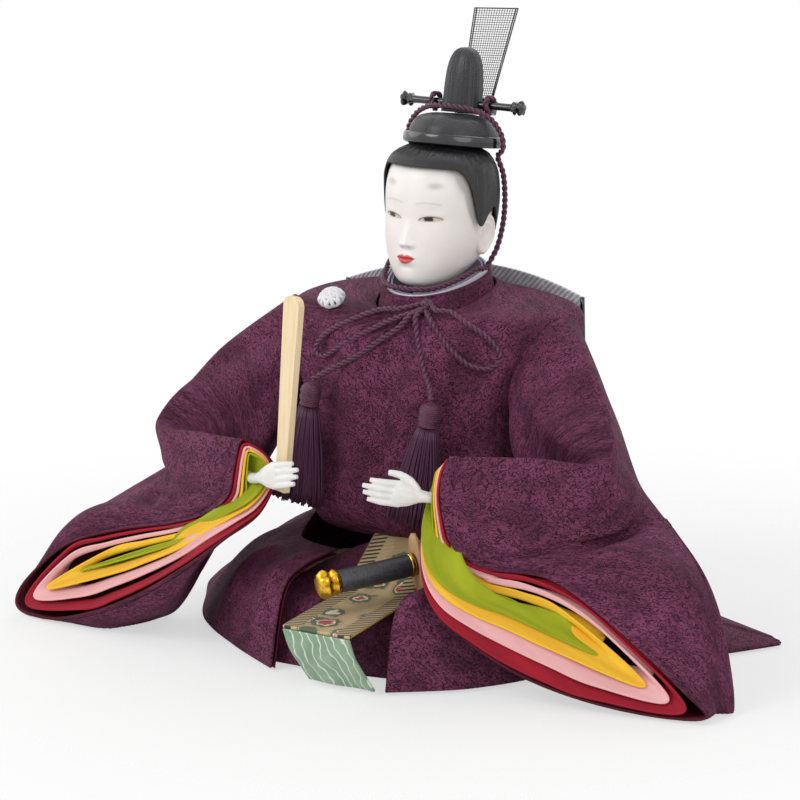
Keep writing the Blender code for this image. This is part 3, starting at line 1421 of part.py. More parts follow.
def make_tassel(word, route):
    # Bound head over a ribbed skirt of floss, flattened against the robe
    top = TASSEL_HEAD_HEIGHT / 2
    shares = ((0.0, 1.0), (0.45, 0.96), (0.85, 0.72), (1.0, 0.35), (0.92, 0.0), (1.0, -0.3), (0.86, -0.72),
              (0.9, -1.0), (0.0, -1.0))
    profile = [(TASSEL_HEAD_RADIUS * radius, top * height) for radius, height in shares]
    head = turned(f"tassel_head_{word}", profile, 12, "plum_cord")
    turn_about(head, tassel_turn(route))
    rows = []
    turn = np.linspace(0, 2 * math.pi, TASSEL_RIBS * 3, endpoint=False)
    for reach, half, depth in ((0.0, 0.30, 0.72), (0.18, 0.46, 0.80), (0.5, 0.70, 0.92), (0.8, 0.92, 1.0),
                               (1.0, 1.0, 1.0)):
        rib = 1 + tassel_rib_share * np.cos(turn * TASSEL_RIBS) * reach
        x = TASSEL_HALF * half * np.cos(turn) * rib
        y = TASSEL_DEPTH * depth * np.sin(turn) * rib
        z = np.full(len(turn), -top - GAP - TASSEL_LENGTH * reach)
        rows.append(np.stack([x, y, z], axis=1))
    skirt = solid_net(f"tassel_skirt_{word}", np.array(rows), "violet_floss", flip=True)
    weld(skirt)
    turn_about(skirt, tassel_turn(route))
    for item in (head, skirt):
        set_origin(item, tassel_pivot(route))


tassel_rib_share = 0.05
tassel_tilt = math.radians(9)


# Sword

sword_start_shares = (-0.019, -1.055, 0.390)
sword_end_shares = (0.840, 0.070, 0.580)


def sword_turn():
    # Local +Z runs from the pommel to the chape, local +X is level
    start = Vector(sword_start_shares) * SKIRT_LENGTH
    stop = Vector(sword_end_shares) * SKIRT_LENGTH
    direction = (stop - start).normalized()
    side = Vector((0, 0, 1)).cross(direction).normalized()
    up = direction.cross(side).normalized()
    turn = Matrix((side, up, direction)).transposed().to_4x4()
    return Matrix.Translation(start) @ turn


def sword_sag(reach):
    # The blade bows down between its ends, as a court sword does
    whole = HILT_LENGTH + SCABBARD_LENGTH + POMMEL_LENGTH + CHAPE_LENGTH + GUARD_WALL
    share = reach / whole
    return -SWORD_BOW * 4 * share * (1 - share)


def sword_rod(name, start, stop, half, height, material, ends=1.0, count=4):
    rows = []
    for part in np.linspace(0, 1, count):
        reach = start + (stop - start) * part
        grow = 1 - (1 - ends) * abs(2 * part - 1) ** 6
        ring = ring_loop(half * grow, height * grow, height * grow, 14)
        ring[:, 1] += sword_sag(reach)
        ring[:, 2] = reach
        rows.append(ring)
    rod = solid_net(name, np.array(rows), material, flip=True)
    weld(rod)
    return turn_about(rod, sword_turn())


# Hilt and scabbard are flatter than they are high, and the gilt ends stand a little proud
flat_share = 0.85
pommel_share = 1.2
chape_share = 1.1


def make_sword():
    pommel_end = POMMEL_LENGTH
    hilt_end = pommel_end + GAP + HILT_LENGTH
    guard_end = hilt_end + GAP + GUARD_WALL
    scabbard_end = guard_end + GAP + SCABBARD_LENGTH
    chape_end = scabbard_end + GAP + CHAPE_LENGTH
    pommel = sword_rod("sword_pommel", 0, pommel_end, SWORD_RADIUS, SWORD_RADIUS * pommel_share, "gold_metal", 0.6)
    hilt = sword_rod("sword_hilt", pommel_end + GAP, hilt_end, SWORD_RADIUS * flat_share, SWORD_RADIUS, "grey_sharkskin")
    guard = sword_rod("sword_guard", hilt_end + GAP, guard_end, GUARD_HALF, GUARD_HEIGHT, "pale_wood", 1, 2)
    scabbard = sword_rod("sword_scabbard", guard_end + GAP, scabbard_end, SCABBARD_RADIUS * flat_share,
                         SCABBARD_RADIUS, "grey_sharkskin", 1, 8)
    chape = sword_rod("sword_chape", scabbard_end + GAP, chape_end, SCABBARD_RADIUS,
                      SCABBARD_RADIUS * chape_share, "gold_metal", 0.7)
    return [pommel, hilt, guard, scabbard, chape]


# Sash from the belt over the lap

sash_line_shares = ((0.0805, -0.475, 0.452), (0.0765, -0.59, 0.375), (0.0735, -0.72, 0.2965), (0.0725, -0.80, 0.284),
                    (0.050, -1.00, 0.266), (0.045, -1.19, 0.259))
flap_line_shares = ((0.046, -1.195, 0.242), (0.056, -1.165, 0.160), (0.075, -1.120, 0.085), (0.095, -1.080, 0.018))


def band_net(shares, along, across=5):
    # Band of the sash's width along a centre line, with its width turned a little with the line
    line = smooth_points(np.array(shares) * SKIRT_LENGTH, along)
    offsets = np.linspace(-SASH_HALF, SASH_HALF, across)
    net = np.repeat(line[:, None, :], across, axis=1)
    net[:, :, 0] += offsets
    net[:, :, 1] -= offsets * sash_skew_share
    return net


sash_skew_share = 0.10


def make_sash():
    strip = cloth_sheet("sash_strip", band_net(sash_line_shares, 12), SASH_WALL, "gold_brocade", closed=False,
                        flip=True)
    flap = cloth_sheet("sash_flap", band_net(flap_line_shares, 9), SASH_WALL, "mint_satin", closed=False, flip=True)
    return strip, flap


under_skirt_shares = (
    ((-0.30, -0.44, 0.305), (-0.32, -0.66, 0.280), (-0.30, -0.82, 0.230), (-0.30, -0.900, 0.012)),
    ((0.00, -0.45, 0.430), (0.00, -0.68, 0.280), (0.00, -0.86, 0.220), (0.00, -0.920, 0.012)),
    ((0.30, -0.44, 0.320), (0.33, -0.66, 0.280), (0.30, -0.82, 0.230), (0.30, -0.900, 0.012)),
)


# Train panel folded up behind the shoulders

train_shares = (
    # height down from the top, and depth behind the axis, at the middle and at the end
    (0.0, 0.270, 0.220), (0.30, 0.300, 0.24), (0.65, 0.325, 0.28), (1.0, 0.340, 0.31),
)


def train_net(start, stop, across):
    rows = []
    for down, middle, end in train_shares:
        row = []
        for share in np.linspace(start, stop, across):
            depth = middle + (end - middle) * share ** 2
            drop = train_drop_share * share ** 2
            row.append((TRAIN_HALF * share, SKIRT_LENGTH * depth, TRAIN_TOP - TRAIN_HEIGHT * (down + drop)))
        rows.append(row)
    return net_of(rows, across, 6, closed=False)


train_drop_share = 0.11


def make_train():
    return cloth_sheet("train_panel", train_net(-1.0, 1.0, 11), TRAIN_WALL, "grey_weave", closed=False)


def make_toggle():
    # Knotted cord button lying on the cloth, which closes the collar at the wearer's right shoulder
    bpy.ops.mesh.primitive_uv_sphere_add(segments=10, ring_count=6, radius=TOGGLE_RADIUS)
    ball = bpy.context.object
    ball.name = "collar_toggle"
    place(ball, "white_cloth")
    ball.data.transform(Matrix.Diagonal((1, 1, toggle_flat_share, 1)))
    turn = Matrix.Translation(toggle_centre) @ Matrix.Rotation(toggle_tip, 4, "X")
    return turn_about(ball, turn)


toggle_flat_share = 0.55
toggle_centre = (-0.0299, -0.0382, 0.1372)
toggle_tip = math.radians(30)


# Build in the order in which the doll is assembled

def build():
    clear_scene()
    make_finishes()
    make_seat_board()
    make_straw_core()
    make_core_bindings()
    make_arm_wire()
    make_arm_pad(1, "arm_pad_left")
    make_arm_pad(-1, "arm_pad_right")
    make_leg(1, "leg_left")
    make_leg(-1, "leg_right")
    make_robe_body()
    for side, word in ((1, "left"), (-1, "right")):
        make_sleeve(side, f"sleeve_{word}")
        colours = ("crimson", "pink", "yellow", "green")
        for depth, colour in enumerate(colours, start=1):
            make_sleeve_layer(side, f"cuff_{colour}_{word}", depth, f"{colour}_cloth")
    make_skirt("skirt_left", left_skirt_shares, True, 9)
    make_skirt_lining("lining_left", left_skirt_shares, True, 9)
    make_skirt_lining("lining_right", right_skirt_shares, False, 9)
    make_skirt("skirt_right", right_skirt_shares, False, 9)
    make_skirt("skirt_back", back_skirt_shares, True, 9)
    make_hand(1, "hand_left")
    make_hand(-1, "hand_right")
    make_baton()
    make_collar("robe_collar", 0, 0, CLOTH, "plum_jacquard")
    make_collar("under_collar_white", UNDER_COLLAR_STEP, UNDER_COLLAR_RISE, CLOTH, "white_cloth")
    make_collar("under_collar_lilac", UNDER_COLLAR_STEP * 2, UNDER_COLLAR_RISE, CLOTH, "lilac_cloth")
    make_toggle()
    make_head()
    make_neck_peg()
    make_hair()
    make_crown_dome()
    make_crown_rim()
    make_crown_lobe()
    make_crown_pin()
    make_streamer_socket()
    make_streamer()
    make_head_cord()
    make_cord_ring(1, "cord_ring_left")
    make_cord_ring(-1, "cord_ring_right")
    make_chin_bow()
    make_tassel("left", lay_on_robe(tail_left_guesses, tail_left_stands))
    make_tassel("right", lay_on_robe(tail_right_guesses, tail_right_stands))
    make_sword()
    make_sash()
    cloth_sheet("under_skirt", skirt_net(under_skirt_shares, 8, 6), LINING, "crimson_cloth", closed=False, flip=True)
    make_train()


build()
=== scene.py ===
import math

import bmesh
import bpy
import numpy as np
from mathutils import Matrix, Vector


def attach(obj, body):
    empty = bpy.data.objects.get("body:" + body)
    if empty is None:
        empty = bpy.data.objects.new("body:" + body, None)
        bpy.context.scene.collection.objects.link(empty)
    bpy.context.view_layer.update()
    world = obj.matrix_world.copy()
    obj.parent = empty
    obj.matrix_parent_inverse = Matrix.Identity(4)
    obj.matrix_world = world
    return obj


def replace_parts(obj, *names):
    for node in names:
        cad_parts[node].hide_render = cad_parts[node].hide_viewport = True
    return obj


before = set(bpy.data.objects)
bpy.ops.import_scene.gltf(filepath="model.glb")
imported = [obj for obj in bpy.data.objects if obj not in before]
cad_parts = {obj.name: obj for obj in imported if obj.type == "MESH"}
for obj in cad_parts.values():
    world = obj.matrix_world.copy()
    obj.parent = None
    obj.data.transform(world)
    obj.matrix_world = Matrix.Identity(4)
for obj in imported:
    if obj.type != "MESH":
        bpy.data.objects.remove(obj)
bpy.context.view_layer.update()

mm = 0.001
scene = bpy.context.scene


def stage(text):
    print("scene:", text, flush=True)


def linear(hexText):
    # sRGB hex to linear red, green and blue
    values = np.array([int(hexText[i:i + 2], 16) for i in (1, 3, 5)]) / 255
    low = values / 12.92
    high = ((values + 0.055) / 1.055) ** 2.4
    return tuple(np.where(values <= 0.04045, low, high))


# Camera, found by matching the photograph

camera = {
    "target": (0.0, -0.016, 0.100),
    "azimuth": 25.65,
    "elevation": 12.03,
    "distance": 1.2055,
    "lens": 135.0,
    "shift": (-0.0294, -0.01825),
}


def makeCamera():
    az, el = math.radians(camera["azimuth"]), math.radians(camera["elevation"])
    away = Vector((math.sin(az) * math.cos(el), -math.cos(az) * math.cos(el), math.sin(el)))
    data = bpy.data.cameras.new("camera")
    data.lens = camera["lens"]
    data.sensor_width = 36
    data.shift_x, data.shift_y = camera["shift"]
    item = bpy.data.objects.new("camera", data)
    scene.collection.objects.link(item)
    item.location = Vector(camera["target"]) + away * camera["distance"]
    item.rotation_euler = (-away).to_track_quat("-Z", "Y").to_euler()
    scene.camera = item


makeCamera()


# Nets of points and the meshes made from them

def smoothPoints(points, count, closed=False):
    # Catmull-Rom curve through the points, read at even steps
    points = np.asarray(points, dtype=float)
    size = len(points)
    steps = np.arange(count) * size / count if closed else np.linspace(0, size - 1, count)
    cell = np.floor(steps).astype(int)
    if not closed:
        cell = np.minimum(cell, size - 2)
    t = (steps - cell).reshape((-1,) + (1,) * (points.ndim - 1))

    def pick(shift):
        if closed:
            return points[(cell + shift) % size]
        return points[np.clip(cell + shift, 0, size - 1)]

    before, start, end, after = pick(-1), pick(0), pick(1), pick(2)
    slopeIn = (end - before) / 2
    slopeOut = (after - start) / 2
    chord = end - start
    return start + t * slopeIn + t**2 * (3 * chord - 2 * slopeIn - slopeOut) + t**3 * (slopeIn + slopeOut - 2 * chord)


def netOf(rows, across, along, closed=True):
    return smoothPoints(np.array([smoothPoints(row, across, closed) for row in rows]), along)


def netNormals(net, closed):
    alongStep = np.gradient(net, axis=0)
    if closed:
        acrossStep = np.roll(net, -1, axis=1) - np.roll(net, 1, axis=1)
    else:
        acrossStep = np.gradient(net, axis=1)
    normal = np.cross(acrossStep, alongStep)
    return normal / np.maximum(np.linalg.norm(normal, axis=2, keepdims=True), 1e-12)


def netShares(net):
    # Place of each point along and across its net, from 0 to 1
    along, across = net.shape[:2]
    return np.meshgrid(np.linspace(0, 1, along), np.linspace(0, 1, across), indexing="ij")


def newMesh(name, vertices, faces, uv=None, smooth=True):
    mesh = bpy.data.meshes.new(name)
    mesh.from_pydata(np.asarray(vertices).tolist(), [], faces)
    if uv is not None:
        layer = mesh.uv_layers.new(name="cloth")
        layer.data.foreach_set("uv", np.asarray(uv, dtype=np.float32).reshape(-1))
    if smooth:
        mesh.shade_smooth()
    item = bpy.data.objects.new(name, mesh)
    scene.collection.objects.link(item)
    return item


def netPiece(name, net, closed=True, flip=False, wall=None, capped=False):
    # Quads between the net's points. UV holds the cloth's lengths in metres across and along.
    # A capped net ends in a fan of triangles about the middle of its first and last rows
    along, across = net.shape[:2]
    span = across if closed else across - 1
    i, j = np.meshgrid(np.arange(along - 1), np.arange(span), indexing="ij")
    k = (j + 1) % across
    faces = np.stack([i * across + j, i * across + k, (i + 1) * across + k, (i + 1) * across + j], -1).reshape(-1, 4)
    ring = np.concatenate([net, net[:, :1]], axis=1)
    step = np.linalg.norm(np.diff(ring, axis=1), axis=2)
    u = np.concatenate([np.zeros((along, 1)), np.cumsum(step, axis=1)], axis=1)
    run = np.linalg.norm(np.diff(net, axis=0), axis=2).mean(axis=1)
    v = np.concatenate([[0], np.cumsum(run)])
    low, high = v[i], v[i + 1]
    uv = np.stack([np.stack([u[i, j], low], -1), np.stack([u[i, j + 1], low], -1),
                   np.stack([u[i + 1, j + 1], high], -1), np.stack([u[i + 1, j], high], -1)], axis=2)
    uv = uv.reshape(-1, 4, 2)
    if flip:
        faces, uv = faces[:, ::-1], uv[:, ::-1]
    points, corners, uv = net.reshape(-1, 3), faces.tolist(), uv.reshape(-1, 2)
    if capped:
        column = np.arange(across)
        after, last, top = (column + 1) % across, (along - 1) * across, along * across
        fans = np.concatenate([np.stack([after, column, np.full(across, top)], 1),
                               np.stack([last + column, last + after, np.full(across, top + 1)], 1)])
        corners += (fans[:, ::-1] if flip else fans).tolist()
        points = np.concatenate([points, [net[0].mean(axis=0), net[-1].mean(axis=0)]])
        uv = np.concatenate([uv, np.zeros((fans.size, 2))])
    item = newMesh(name, points, corners, uv)
    if wall:
        solid = item.modifiers.new("wall", "SOLIDIFY")
        solid.thickness = wall
        solid.offset = -1
        solid.use_rim = True
    return item


def dress(piece, material, body, node=None):
    # The finish, the solid that the piece stands for, and the body that it moves with
    piece.data.materials.append(material)
    if node:
        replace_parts(piece, node)
    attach(piece, body)


def tubeNet(points, radius, sides, radii=None):
    # Rings square to the path, carried along it without twist
    points = np.asarray(points, dtype=float)
    tangent = np.gradient(points, axis=0)
    tangent /= np.linalg.norm(tangent, axis=1, keepdims=True)
    side = np.cross(tangent[0], (0.31, 0.17, 0.93))
    sideways = []
    for way in tangent:
        side = side - way * np.dot(side, way)
        side /= np.linalg.norm(side)
        sideways.append(side)
    sideways = np.array(sideways)
    upways = np.cross(tangent, sideways)
    turn = np.linspace(0, 2 * math.pi, sides, endpoint=False)
    scale = np.ones(len(points)) if radii is None else np.asarray(radii)
    ring = np.cos(turn)[None, :, None] * sideways[:, None] + np.sin(turn)[None, :, None] * upways[:, None]
    return points[:, None] + ring * (radius * scale)[:, None, None], sideways, upways


def tubesPiece(name, routes, radius, sides=6, radii=None):
    # Many round strands in one mesh, each closed by a point at both ends
    vertices, faces = [], []
    base = 0
    for number, route in enumerate(routes):
        size = radii[number] if radii is not None else None
        net = tubeNet(route, radius, sides, size)[0]
        rows = len(net)
        i, j = np.meshgrid(np.arange(rows - 1), np.arange(sides), indexing="ij")
        k = (j + 1) % sides
        quads = np.stack([i * sides + j, i * sides + k, (i + 1) * sides + k, (i + 1) * sides + j], -1)
        faces += (quads.reshape(-1, 4) + base).tolist()
        ends = base + rows * sides
        last = base + (rows - 1) * sides
        for corner in range(sides):
            other = (corner + 1) % sides
            faces.append([base + other, base + corner, ends])
            faces.append([last + corner, last + other, ends + 1])
        vertices += [net.reshape(-1, 3), np.array([route[0], route[-1]])]
        base = ends + 2
    return newMesh(name, np.concatenate(vertices), faces)


def evenRoute(points, step, closed=False):
    # The smooth curve through the points, read again at even distances
    fine = smoothPoints(points, 400, closed)
    if closed:
        fine = np.concatenate([fine, fine[:1]])
    run = np.concatenate([[0], np.cumsum(np.linalg.norm(np.diff(fine, axis=0), axis=1))])
    count = max(3, int(run[-1] / step))
    places = np.linspace(0, run[-1], count)
    return np.stack([np.interp(places, run, fine[:, axis]) for axis in range(3)], axis=1), run[-1]


def twistedCord(name, points, radius, closed=False, strands=2, lay=2.6):
    # Strands wound about the route: centre + (cos a, sin a) times half the radius, a full turn each lay
    route, length = evenRoute(points, radius * 0.45, closed)
    sideways, upways = tubeNet(route, radius, 4)[1:]
    run = np.linspace(0, length, len(route))
    turns = round(length / (radius * 2 * lay)) / length if closed else 1 / (radius * 2 * lay)
    routes = []
    for number in range(strands):
        angle = 2 * math.pi * (run * turns + number / strands)
        arm = np.cos(angle)[:, None] * sideways + np.sin(angle)[:, None] * upways
        routes.append(route + arm * radius * 0.46)
    return tubesPiece(name, routes, radius * 0.56, 7), route, length


# Materials

def addNode(tree, kind, inputs=(), **settings):
    node = tree.nodes.new(kind)
    for key, value in settings.items():
        setattr(node, key, value)
    for key, value in dict(inputs).items():
        if isinstance(value, bpy.types.NodeSocket):
            tree.links.new(value, node.inputs[key])
        else:
            node.inputs[key].default_value = value
    return node


def newMaterial(name, **values):
    material = bpy.data.materials.new(name)
    material.use_nodes = True
    tree = material.node_tree
    shader = tree.nodes["Principled BSDF"]
    for key, value in values.items():
        shader.inputs[key.replace("_", " ")].default_value = value
    return material, tree, shader


def colour(hexText):
    return (*linear(hexText), 1.0)


def mathNode(tree, operation, first, second=0.0, third=0.0):
    return addNode(tree, "ShaderNodeMath", {0: first, 1: second, 2: third}, operation=operation).outputs[0]


def rampNode(tree, factor, stops):
    node = addNode(tree, "ShaderNodeValToRGB", {"Fac": factor})
    ramp = node.color_ramp
    while len(ramp.elements) < len(stops):
        ramp.elements.new(0.5)
    for element, (place, value) in zip(ramp.elements, stops):
        element.position = place
        element.color = value if isinstance(value, tuple) else (value, value, value, 1.0)
    return node.outputs["Color"]


def mixNode(tree, factor, first, second, blend="MIX"):
    node = addNode(tree, "ShaderNodeMix", {"Factor": factor, 6: first, 7: second}, data_type="RGBA", blend_type=blend)
    return node.outputs[2]


def clothPlace(tree):
    # Place on the cloth in metres, so a noise's scale is its repeats in a metre
    return addNode(tree, "ShaderNodeUVMap", uv_map="cloth").outputs["UV"]


def clothAxes(tree):
    # The same place as two numbers, across and along
    parts = addNode(tree, "ShaderNodeSeparateXYZ", {0: clothPlace(tree)})
    return parts.outputs[0], parts.outputs[1]


def objectPlace(tree):
    return addNode(tree, "ShaderNodeTexCoord").outputs["Object"]


def noiseNode(tree, place, scale, detail=2.0, distortion=0.0, output="Fac"):
    inputs = {"Vector": place, "Scale": scale, "Detail": detail, "Distortion": distortion}
    return addNode(tree, "ShaderNodeTexNoise", inputs).outputs[output]


def stripes(tree, place, pitch):
    # Sine wave with one turn in each pitch
    return mathNode(tree, "SINE", mathNode(tree, "MULTIPLY", place, 2 * math.pi / pitch))


def bumpNode(tree, height, distance, strength=1.0):
    inputs = {"Height": height, "Distance": distance, "Strength": strength}
    return addNode(tree, "ShaderNodeBump", inputs).outputs[0]


def weaveHeight(tree, pitch):
    # Plain weave: the product of two sine waves, one thread apart each way
    across, along = clothAxes(tree)
    return mathNode(tree, "MULTIPLY", stripes(tree, across, pitch), stripes(tree, along, pitch))


def jacquardMaterial():
    # Plum silk jacquard, woven so that its ground crinkles: thin curling creases about 1.4 mm apart,
    # shallower inside soft motifs 14 mm across, with painted shade darkening the creases against the ground between
    # them
    material, tree, shader = newMaterial("plum_jacquard_silk", Roughness=0.75, Specular_IOR_Level=0.2)
    place = clothPlace(tree)
    drift = noiseNode(tree, place, 90.0, output="Color")
    bent = addNode(tree, "ShaderNodeVectorMath", {0: drift, 1: (0.004, 0.004, 0.0), 2: place},
                   operation="MULTIPLY_ADD").outputs[0]
    motif = noiseNode(tree, place, 75.0, 1.0)
    bold = rampNode(tree, motif, [(0.42, 0.45), (0.58, 1.0)])
    curls = noiseNode(tree, bent, 560.0, 0.5, 1.4)
    ridge = mathNode(tree, "ABSOLUTE", mathNode(tree, "SUBTRACT", curls, 0.5))
    crepe = rampNode(tree, mathNode(tree, "MULTIPLY", ridge, 7.0), [(0.04, 0.0), (0.45, 1.0)])
    grain = noiseNode(tree, place, 1500.0, 3.0)
    height = mathNode(tree, "MULTIPLY_ADD", mathNode(tree, "MULTIPLY", crepe, bold), 0.75,
                      mathNode(tree, "MULTIPLY", grain, 0.35))
    tone = noiseNode(tree, place, 30.0, 3.0)
    base = mixNode(tree, rampNode(tree, tone, [(0.35, 0.0), (0.7, 1.0)]), colour("#6a334d"), colour("#7d3f60"))
    # Painted shade: the colour is multiplied darker where the relief is low, in the creases
    lift = rampNode(tree, height, [(0.15, colour("#4a353f")), (0.70, (1.0, 1.0, 1.0, 1.0))])
    tree.links.new(mixNode(tree, 0.9, base, lift, "MULTIPLY"), shader.inputs["Base Color"])
    tree.links.new(bumpNode(tree, height, 0.9 * mm, 1.0), shader.inputs["Normal"])
    return material


def plainSilk(name, main, deep, fuzz, roughness=0.65):
    # Plain-woven silk: a thread of 0.22 mm, drawn twice as coarse so that it shows, and soft unevenness
    material, tree, shader = newMaterial(name, Roughness=roughness, Sheen_Weight=0.06, Sheen_Roughness=0.4,
                                         Specular_IOR_Level=0.3)
    shader.inputs["Sheen Tint"].default_value = colour(fuzz)
    place = clothPlace(tree)
    tone = noiseNode(tree, place, 60.0, 4.0)
    threads = weaveHeight(tree, 0.45 * mm)
    slub = noiseNode(tree, place, 1400.0)
    base = mixNode(tree, rampNode(tree, tone, [(0.30, 0.0), (0.72, 1.0)]), colour(deep), colour(main))
    tree.links.new(base, shader.inputs["Base Color"])
    height = mathNode(tree, "MULTIPLY_ADD", threads, 0.4, slub)
    tree.links.new(bumpNode(tree, height, 0.08 * mm, 0.8), shader.inputs["Normal"])
    return material


def skinMaterial():
    # Polished shell-white finish of the head. The painted features are colours held by the mesh
    material, tree, shader = newMaterial("painted_white_shell", Roughness=0.38, Subsurface_Weight=0.12,
                                         Coat_Weight=0.12, Coat_Roughness=0.25)
    shader.inputs["Subsurface Radius"].default_value = (0.004, 0.002, 0.001)
    paint = addNode(tree, "ShaderNodeVertexColor", layer_name="paint").outputs["Color"]
    place = objectPlace(tree)
    cloud = noiseNode(tree, place, 160.0, 3.0)
    shade = rampNode(tree, cloud, [(0.2, (0.965, 0.96, 0.955, 1.0)), (0.8, (1.0, 1.0, 1.0, 1.0))])
    tree.links.new(mixNode(tree, 1.0, paint, shade, "MULTIPLY"), shader.inputs["Base Color"])
    grain = noiseNode(tree, place, 2600.0, 3.0)
    tree.links.new(bumpNode(tree, grain, 0.02 * mm, 0.5), shader.inputs["Normal"])
    return material


def handMaterial():
    # White lacquered hands, a little uneven
    material, tree, shader = newMaterial("white_shell_hands", Roughness=0.36, Subsurface_Weight=0.10)
    place = objectPlace(tree)
    cloud = noiseNode(tree, place, 220.0, 3.0)
    base = rampNode(tree, cloud, [(0.25, colour("#e6e0da")), (0.75, colour("#f4f1ee"))])
    tree.links.new(base, shader.inputs["Base Color"])
    tree.links.new(bumpNode(tree, cloud, 0.05 * mm, 0.4), shader.inputs["Normal"])
    return material


def hairMaterial():
    # Straight black silk hair: fine lines along the strands
    material, tree, shader = newMaterial("combed_black_hair", Roughness=0.34, Anisotropic=0.6)
    place = clothPlace(tree)
    long = addNode(tree, "ShaderNodeMapping", {"Vector": place, "Scale": (5200.0, 60.0, 1.0)}).outputs[0]
    lines = noiseNode(tree, long, 1.0, 4.0)
    tree.links.new(rampNode(tree, lines, [(0.3, colour("#050506")), (0.8, colour("#26242a"))]),
                   shader.inputs["Base Color"])
    tree.links.new(rampNode(tree, lines, [(0.3, 0.25), (0.8, 0.5)]), shader.inputs["Roughness"])
    tree.links.new(bumpNode(tree, lines, 0.25 * mm, 0.9), shader.inputs["Normal"])
    return material


def gauzeMaterial(name, pitch, gloss):
    # Black lacquered gauze: an open plain weave with painted glints, the raised thread crossings coloured lighter grey
    material, tree, shader = newMaterial(name, Roughness=gloss, Coat_Weight=0.3, Coat_Roughness=0.25)
    threads = weaveHeight(tree, pitch)
    lift = mathNode(tree, "MULTIPLY_ADD", threads, 0.5, 0.5)
    # Painted glints: lighter grey where the weave stands high, near black between
    tree.links.new(rampNode(tree, lift, [(0.15, colour("#030304")), (0.9, colour("#34343a"))]),
                   shader.inputs["Base Color"])
    tree.links.new(bumpNode(tree, lift, 0.35 * mm, 1.0), shader.inputs["Normal"])
    return material


def lacquerMaterial(name, tone, roughness):
    # Brushed black lacquer with faint waviness
    material, tree, shader = newMaterial(name, Roughness=roughness, Coat_Weight=0.6, Coat_Roughness=0.08)
    place = objectPlace(tree)
    wave = noiseNode(tree, place, 420.0)
    tree.links.new(rampNode(tree, wave, [(0.3, colour(tone)), (0.75, colour("#1c1a1d"))]), shader.inputs["Base Color"])
    tree.links.new(bumpNode(tree, wave, 0.12 * mm, 0.5), shader.inputs["Normal"])
    return material


def cordMaterial(name, main, light):
    # Silk cord: fine fibre lines and a soft sheen
    material, tree, shader = newMaterial(name, Roughness=0.5, Sheen_Weight=0.12, Sheen_Roughness=0.35)
    place = objectPlace(tree)
    fibre = noiseNode(tree, place, 3000.0, 3.0)
    tree.links.new(rampNode(tree, fibre, [(0.3, colour(main)), (0.75, colour(light))]), shader.inputs["Base Color"])
    tree.links.new(bumpNode(tree, fibre, 0.08 * mm, 0.7), shader.inputs["Normal"])
    return material


def metalMaterial(name, main, deep, roughness):
    # Gilt metal, lightly hammered, with darker worn patches
    material, tree, shader = newMaterial(name, Metallic=1.0, Roughness=roughness)
    place = objectPlace(tree)
    beat = addNode(tree, "ShaderNodeTexVoronoi", {"Vector": place, "Scale": 700.0}, feature="SMOOTH_F1").outputs["Distance"]
    wear = noiseNode(tree, place, 500.0, 3.0)
    tree.links.new(rampNode(tree, wear, [(0.3, colour(deep)), (0.65, colour(main))]), shader.inputs["Base Color"])
    tree.links.new(rampNode(tree, wear, [(0.3, roughness + 0.15), (0.7, roughness)]), shader.inputs["Roughness"])
    tree.links.new(bumpNode(tree, beat, 0.12 * mm, 0.5), shader.inputs["Normal"])
    return material


def woodMaterial(name, main, deep, stretch):
    # Fine straight grain along the longest side
    material, tree, shader = newMaterial(name, Roughness=0.5)
    place = objectPlace(tree)
    long = addNode(tree, "ShaderNodeMapping", {"Vector": place, "Scale": stretch}).outputs[0]
    grain = noiseNode(tree, long, 1.0, 5.0, 0.3)
    tree.links.new(rampNode(tree, grain, [(0.3, colour(deep)), (0.7, colour(main))]),
                   shader.inputs["Base Color"])
    tree.links.new(bumpNode(tree, grain, 0.06 * mm, 0.5), shader.inputs["Normal"])
    return material


def sharkskinMaterial():
    # Grey ray skin: close round grains
    material, tree, shader = newMaterial("grey_ray_skin", Roughness=0.42, Coat_Weight=0.2, Coat_Roughness=0.3)
    place = objectPlace(tree)
    grains = addNode(tree, "ShaderNodeTexVoronoi", {"Vector": place, "Scale": 1500.0}).outputs["Distance"]
    cloud = noiseNode(tree, place, 200.0)
    base = mixNode(tree, cloud, colour("#35353a"), colour("#5a5a61"))
    tree.links.new(mixNode(tree, grains, base, colour("#222226")), shader.inputs["Base Color"])
    tree.links.new(bumpNode(tree, grains, 0.12 * mm, 0.7), shader.inputs["Normal"])
    return material


# Robe: sleeves with their nested layers, body, collars and skirts

plum = jacquardMaterial()
crimson = plainSilk("crimson_silk", "#ae122c", "#8e0c22", "#d8647a")
darkLining = plainSilk("dark_crimson_lining", "#5c0a22", "#430818", "#a04058")
pink = plainSilk("pink_silk", "#f7c0c0", "#efaeb0", "#ffe0e0")
yellow = plainSilk("yellow_silk", "#fdd03a", "#f5b226", "#ffe28a")
green = plainSilk("yellow_green_silk", "#adb71a", "#929c12", "#dde27a")
whiteSilk = plainSilk("white_silk", "#eceaf0", "#d6d3de", "#ffffff")
lilac = plainSilk("lilac_silk", "#b4aecb", "#9c96b8", "#e4e0f4")

robeRingShares = (
    # half width, front depth, back depth, height, extra height at the back
    (0.352, 0.655, 0.790, 0.975, 0.075),
    (0.520, 0.720, 0.880, 0.985, 0.040),
    (0.800, 0.800, 0.960, 0.995, 0.012),
    (0.965, 0.860, 1.000, 0.968, 0.000),
    (0.955, 0.930, 1.080, 0.880, 0.000),
    (0.885, 0.965, 1.120, 0.740, 0.000),
    (0.840, 0.985, 1.160, 0.600, 0.000),
    (0.830, 1.000, 1.180, 0.450, 0.000),
    (0.800, 0.970, 1.150, 0.362, 0.000),
    (0.700, 0.860, 1.040, 0.322, 0.000),
    (0.600, 0.760, 0.940, 0.335, 0.000),
)

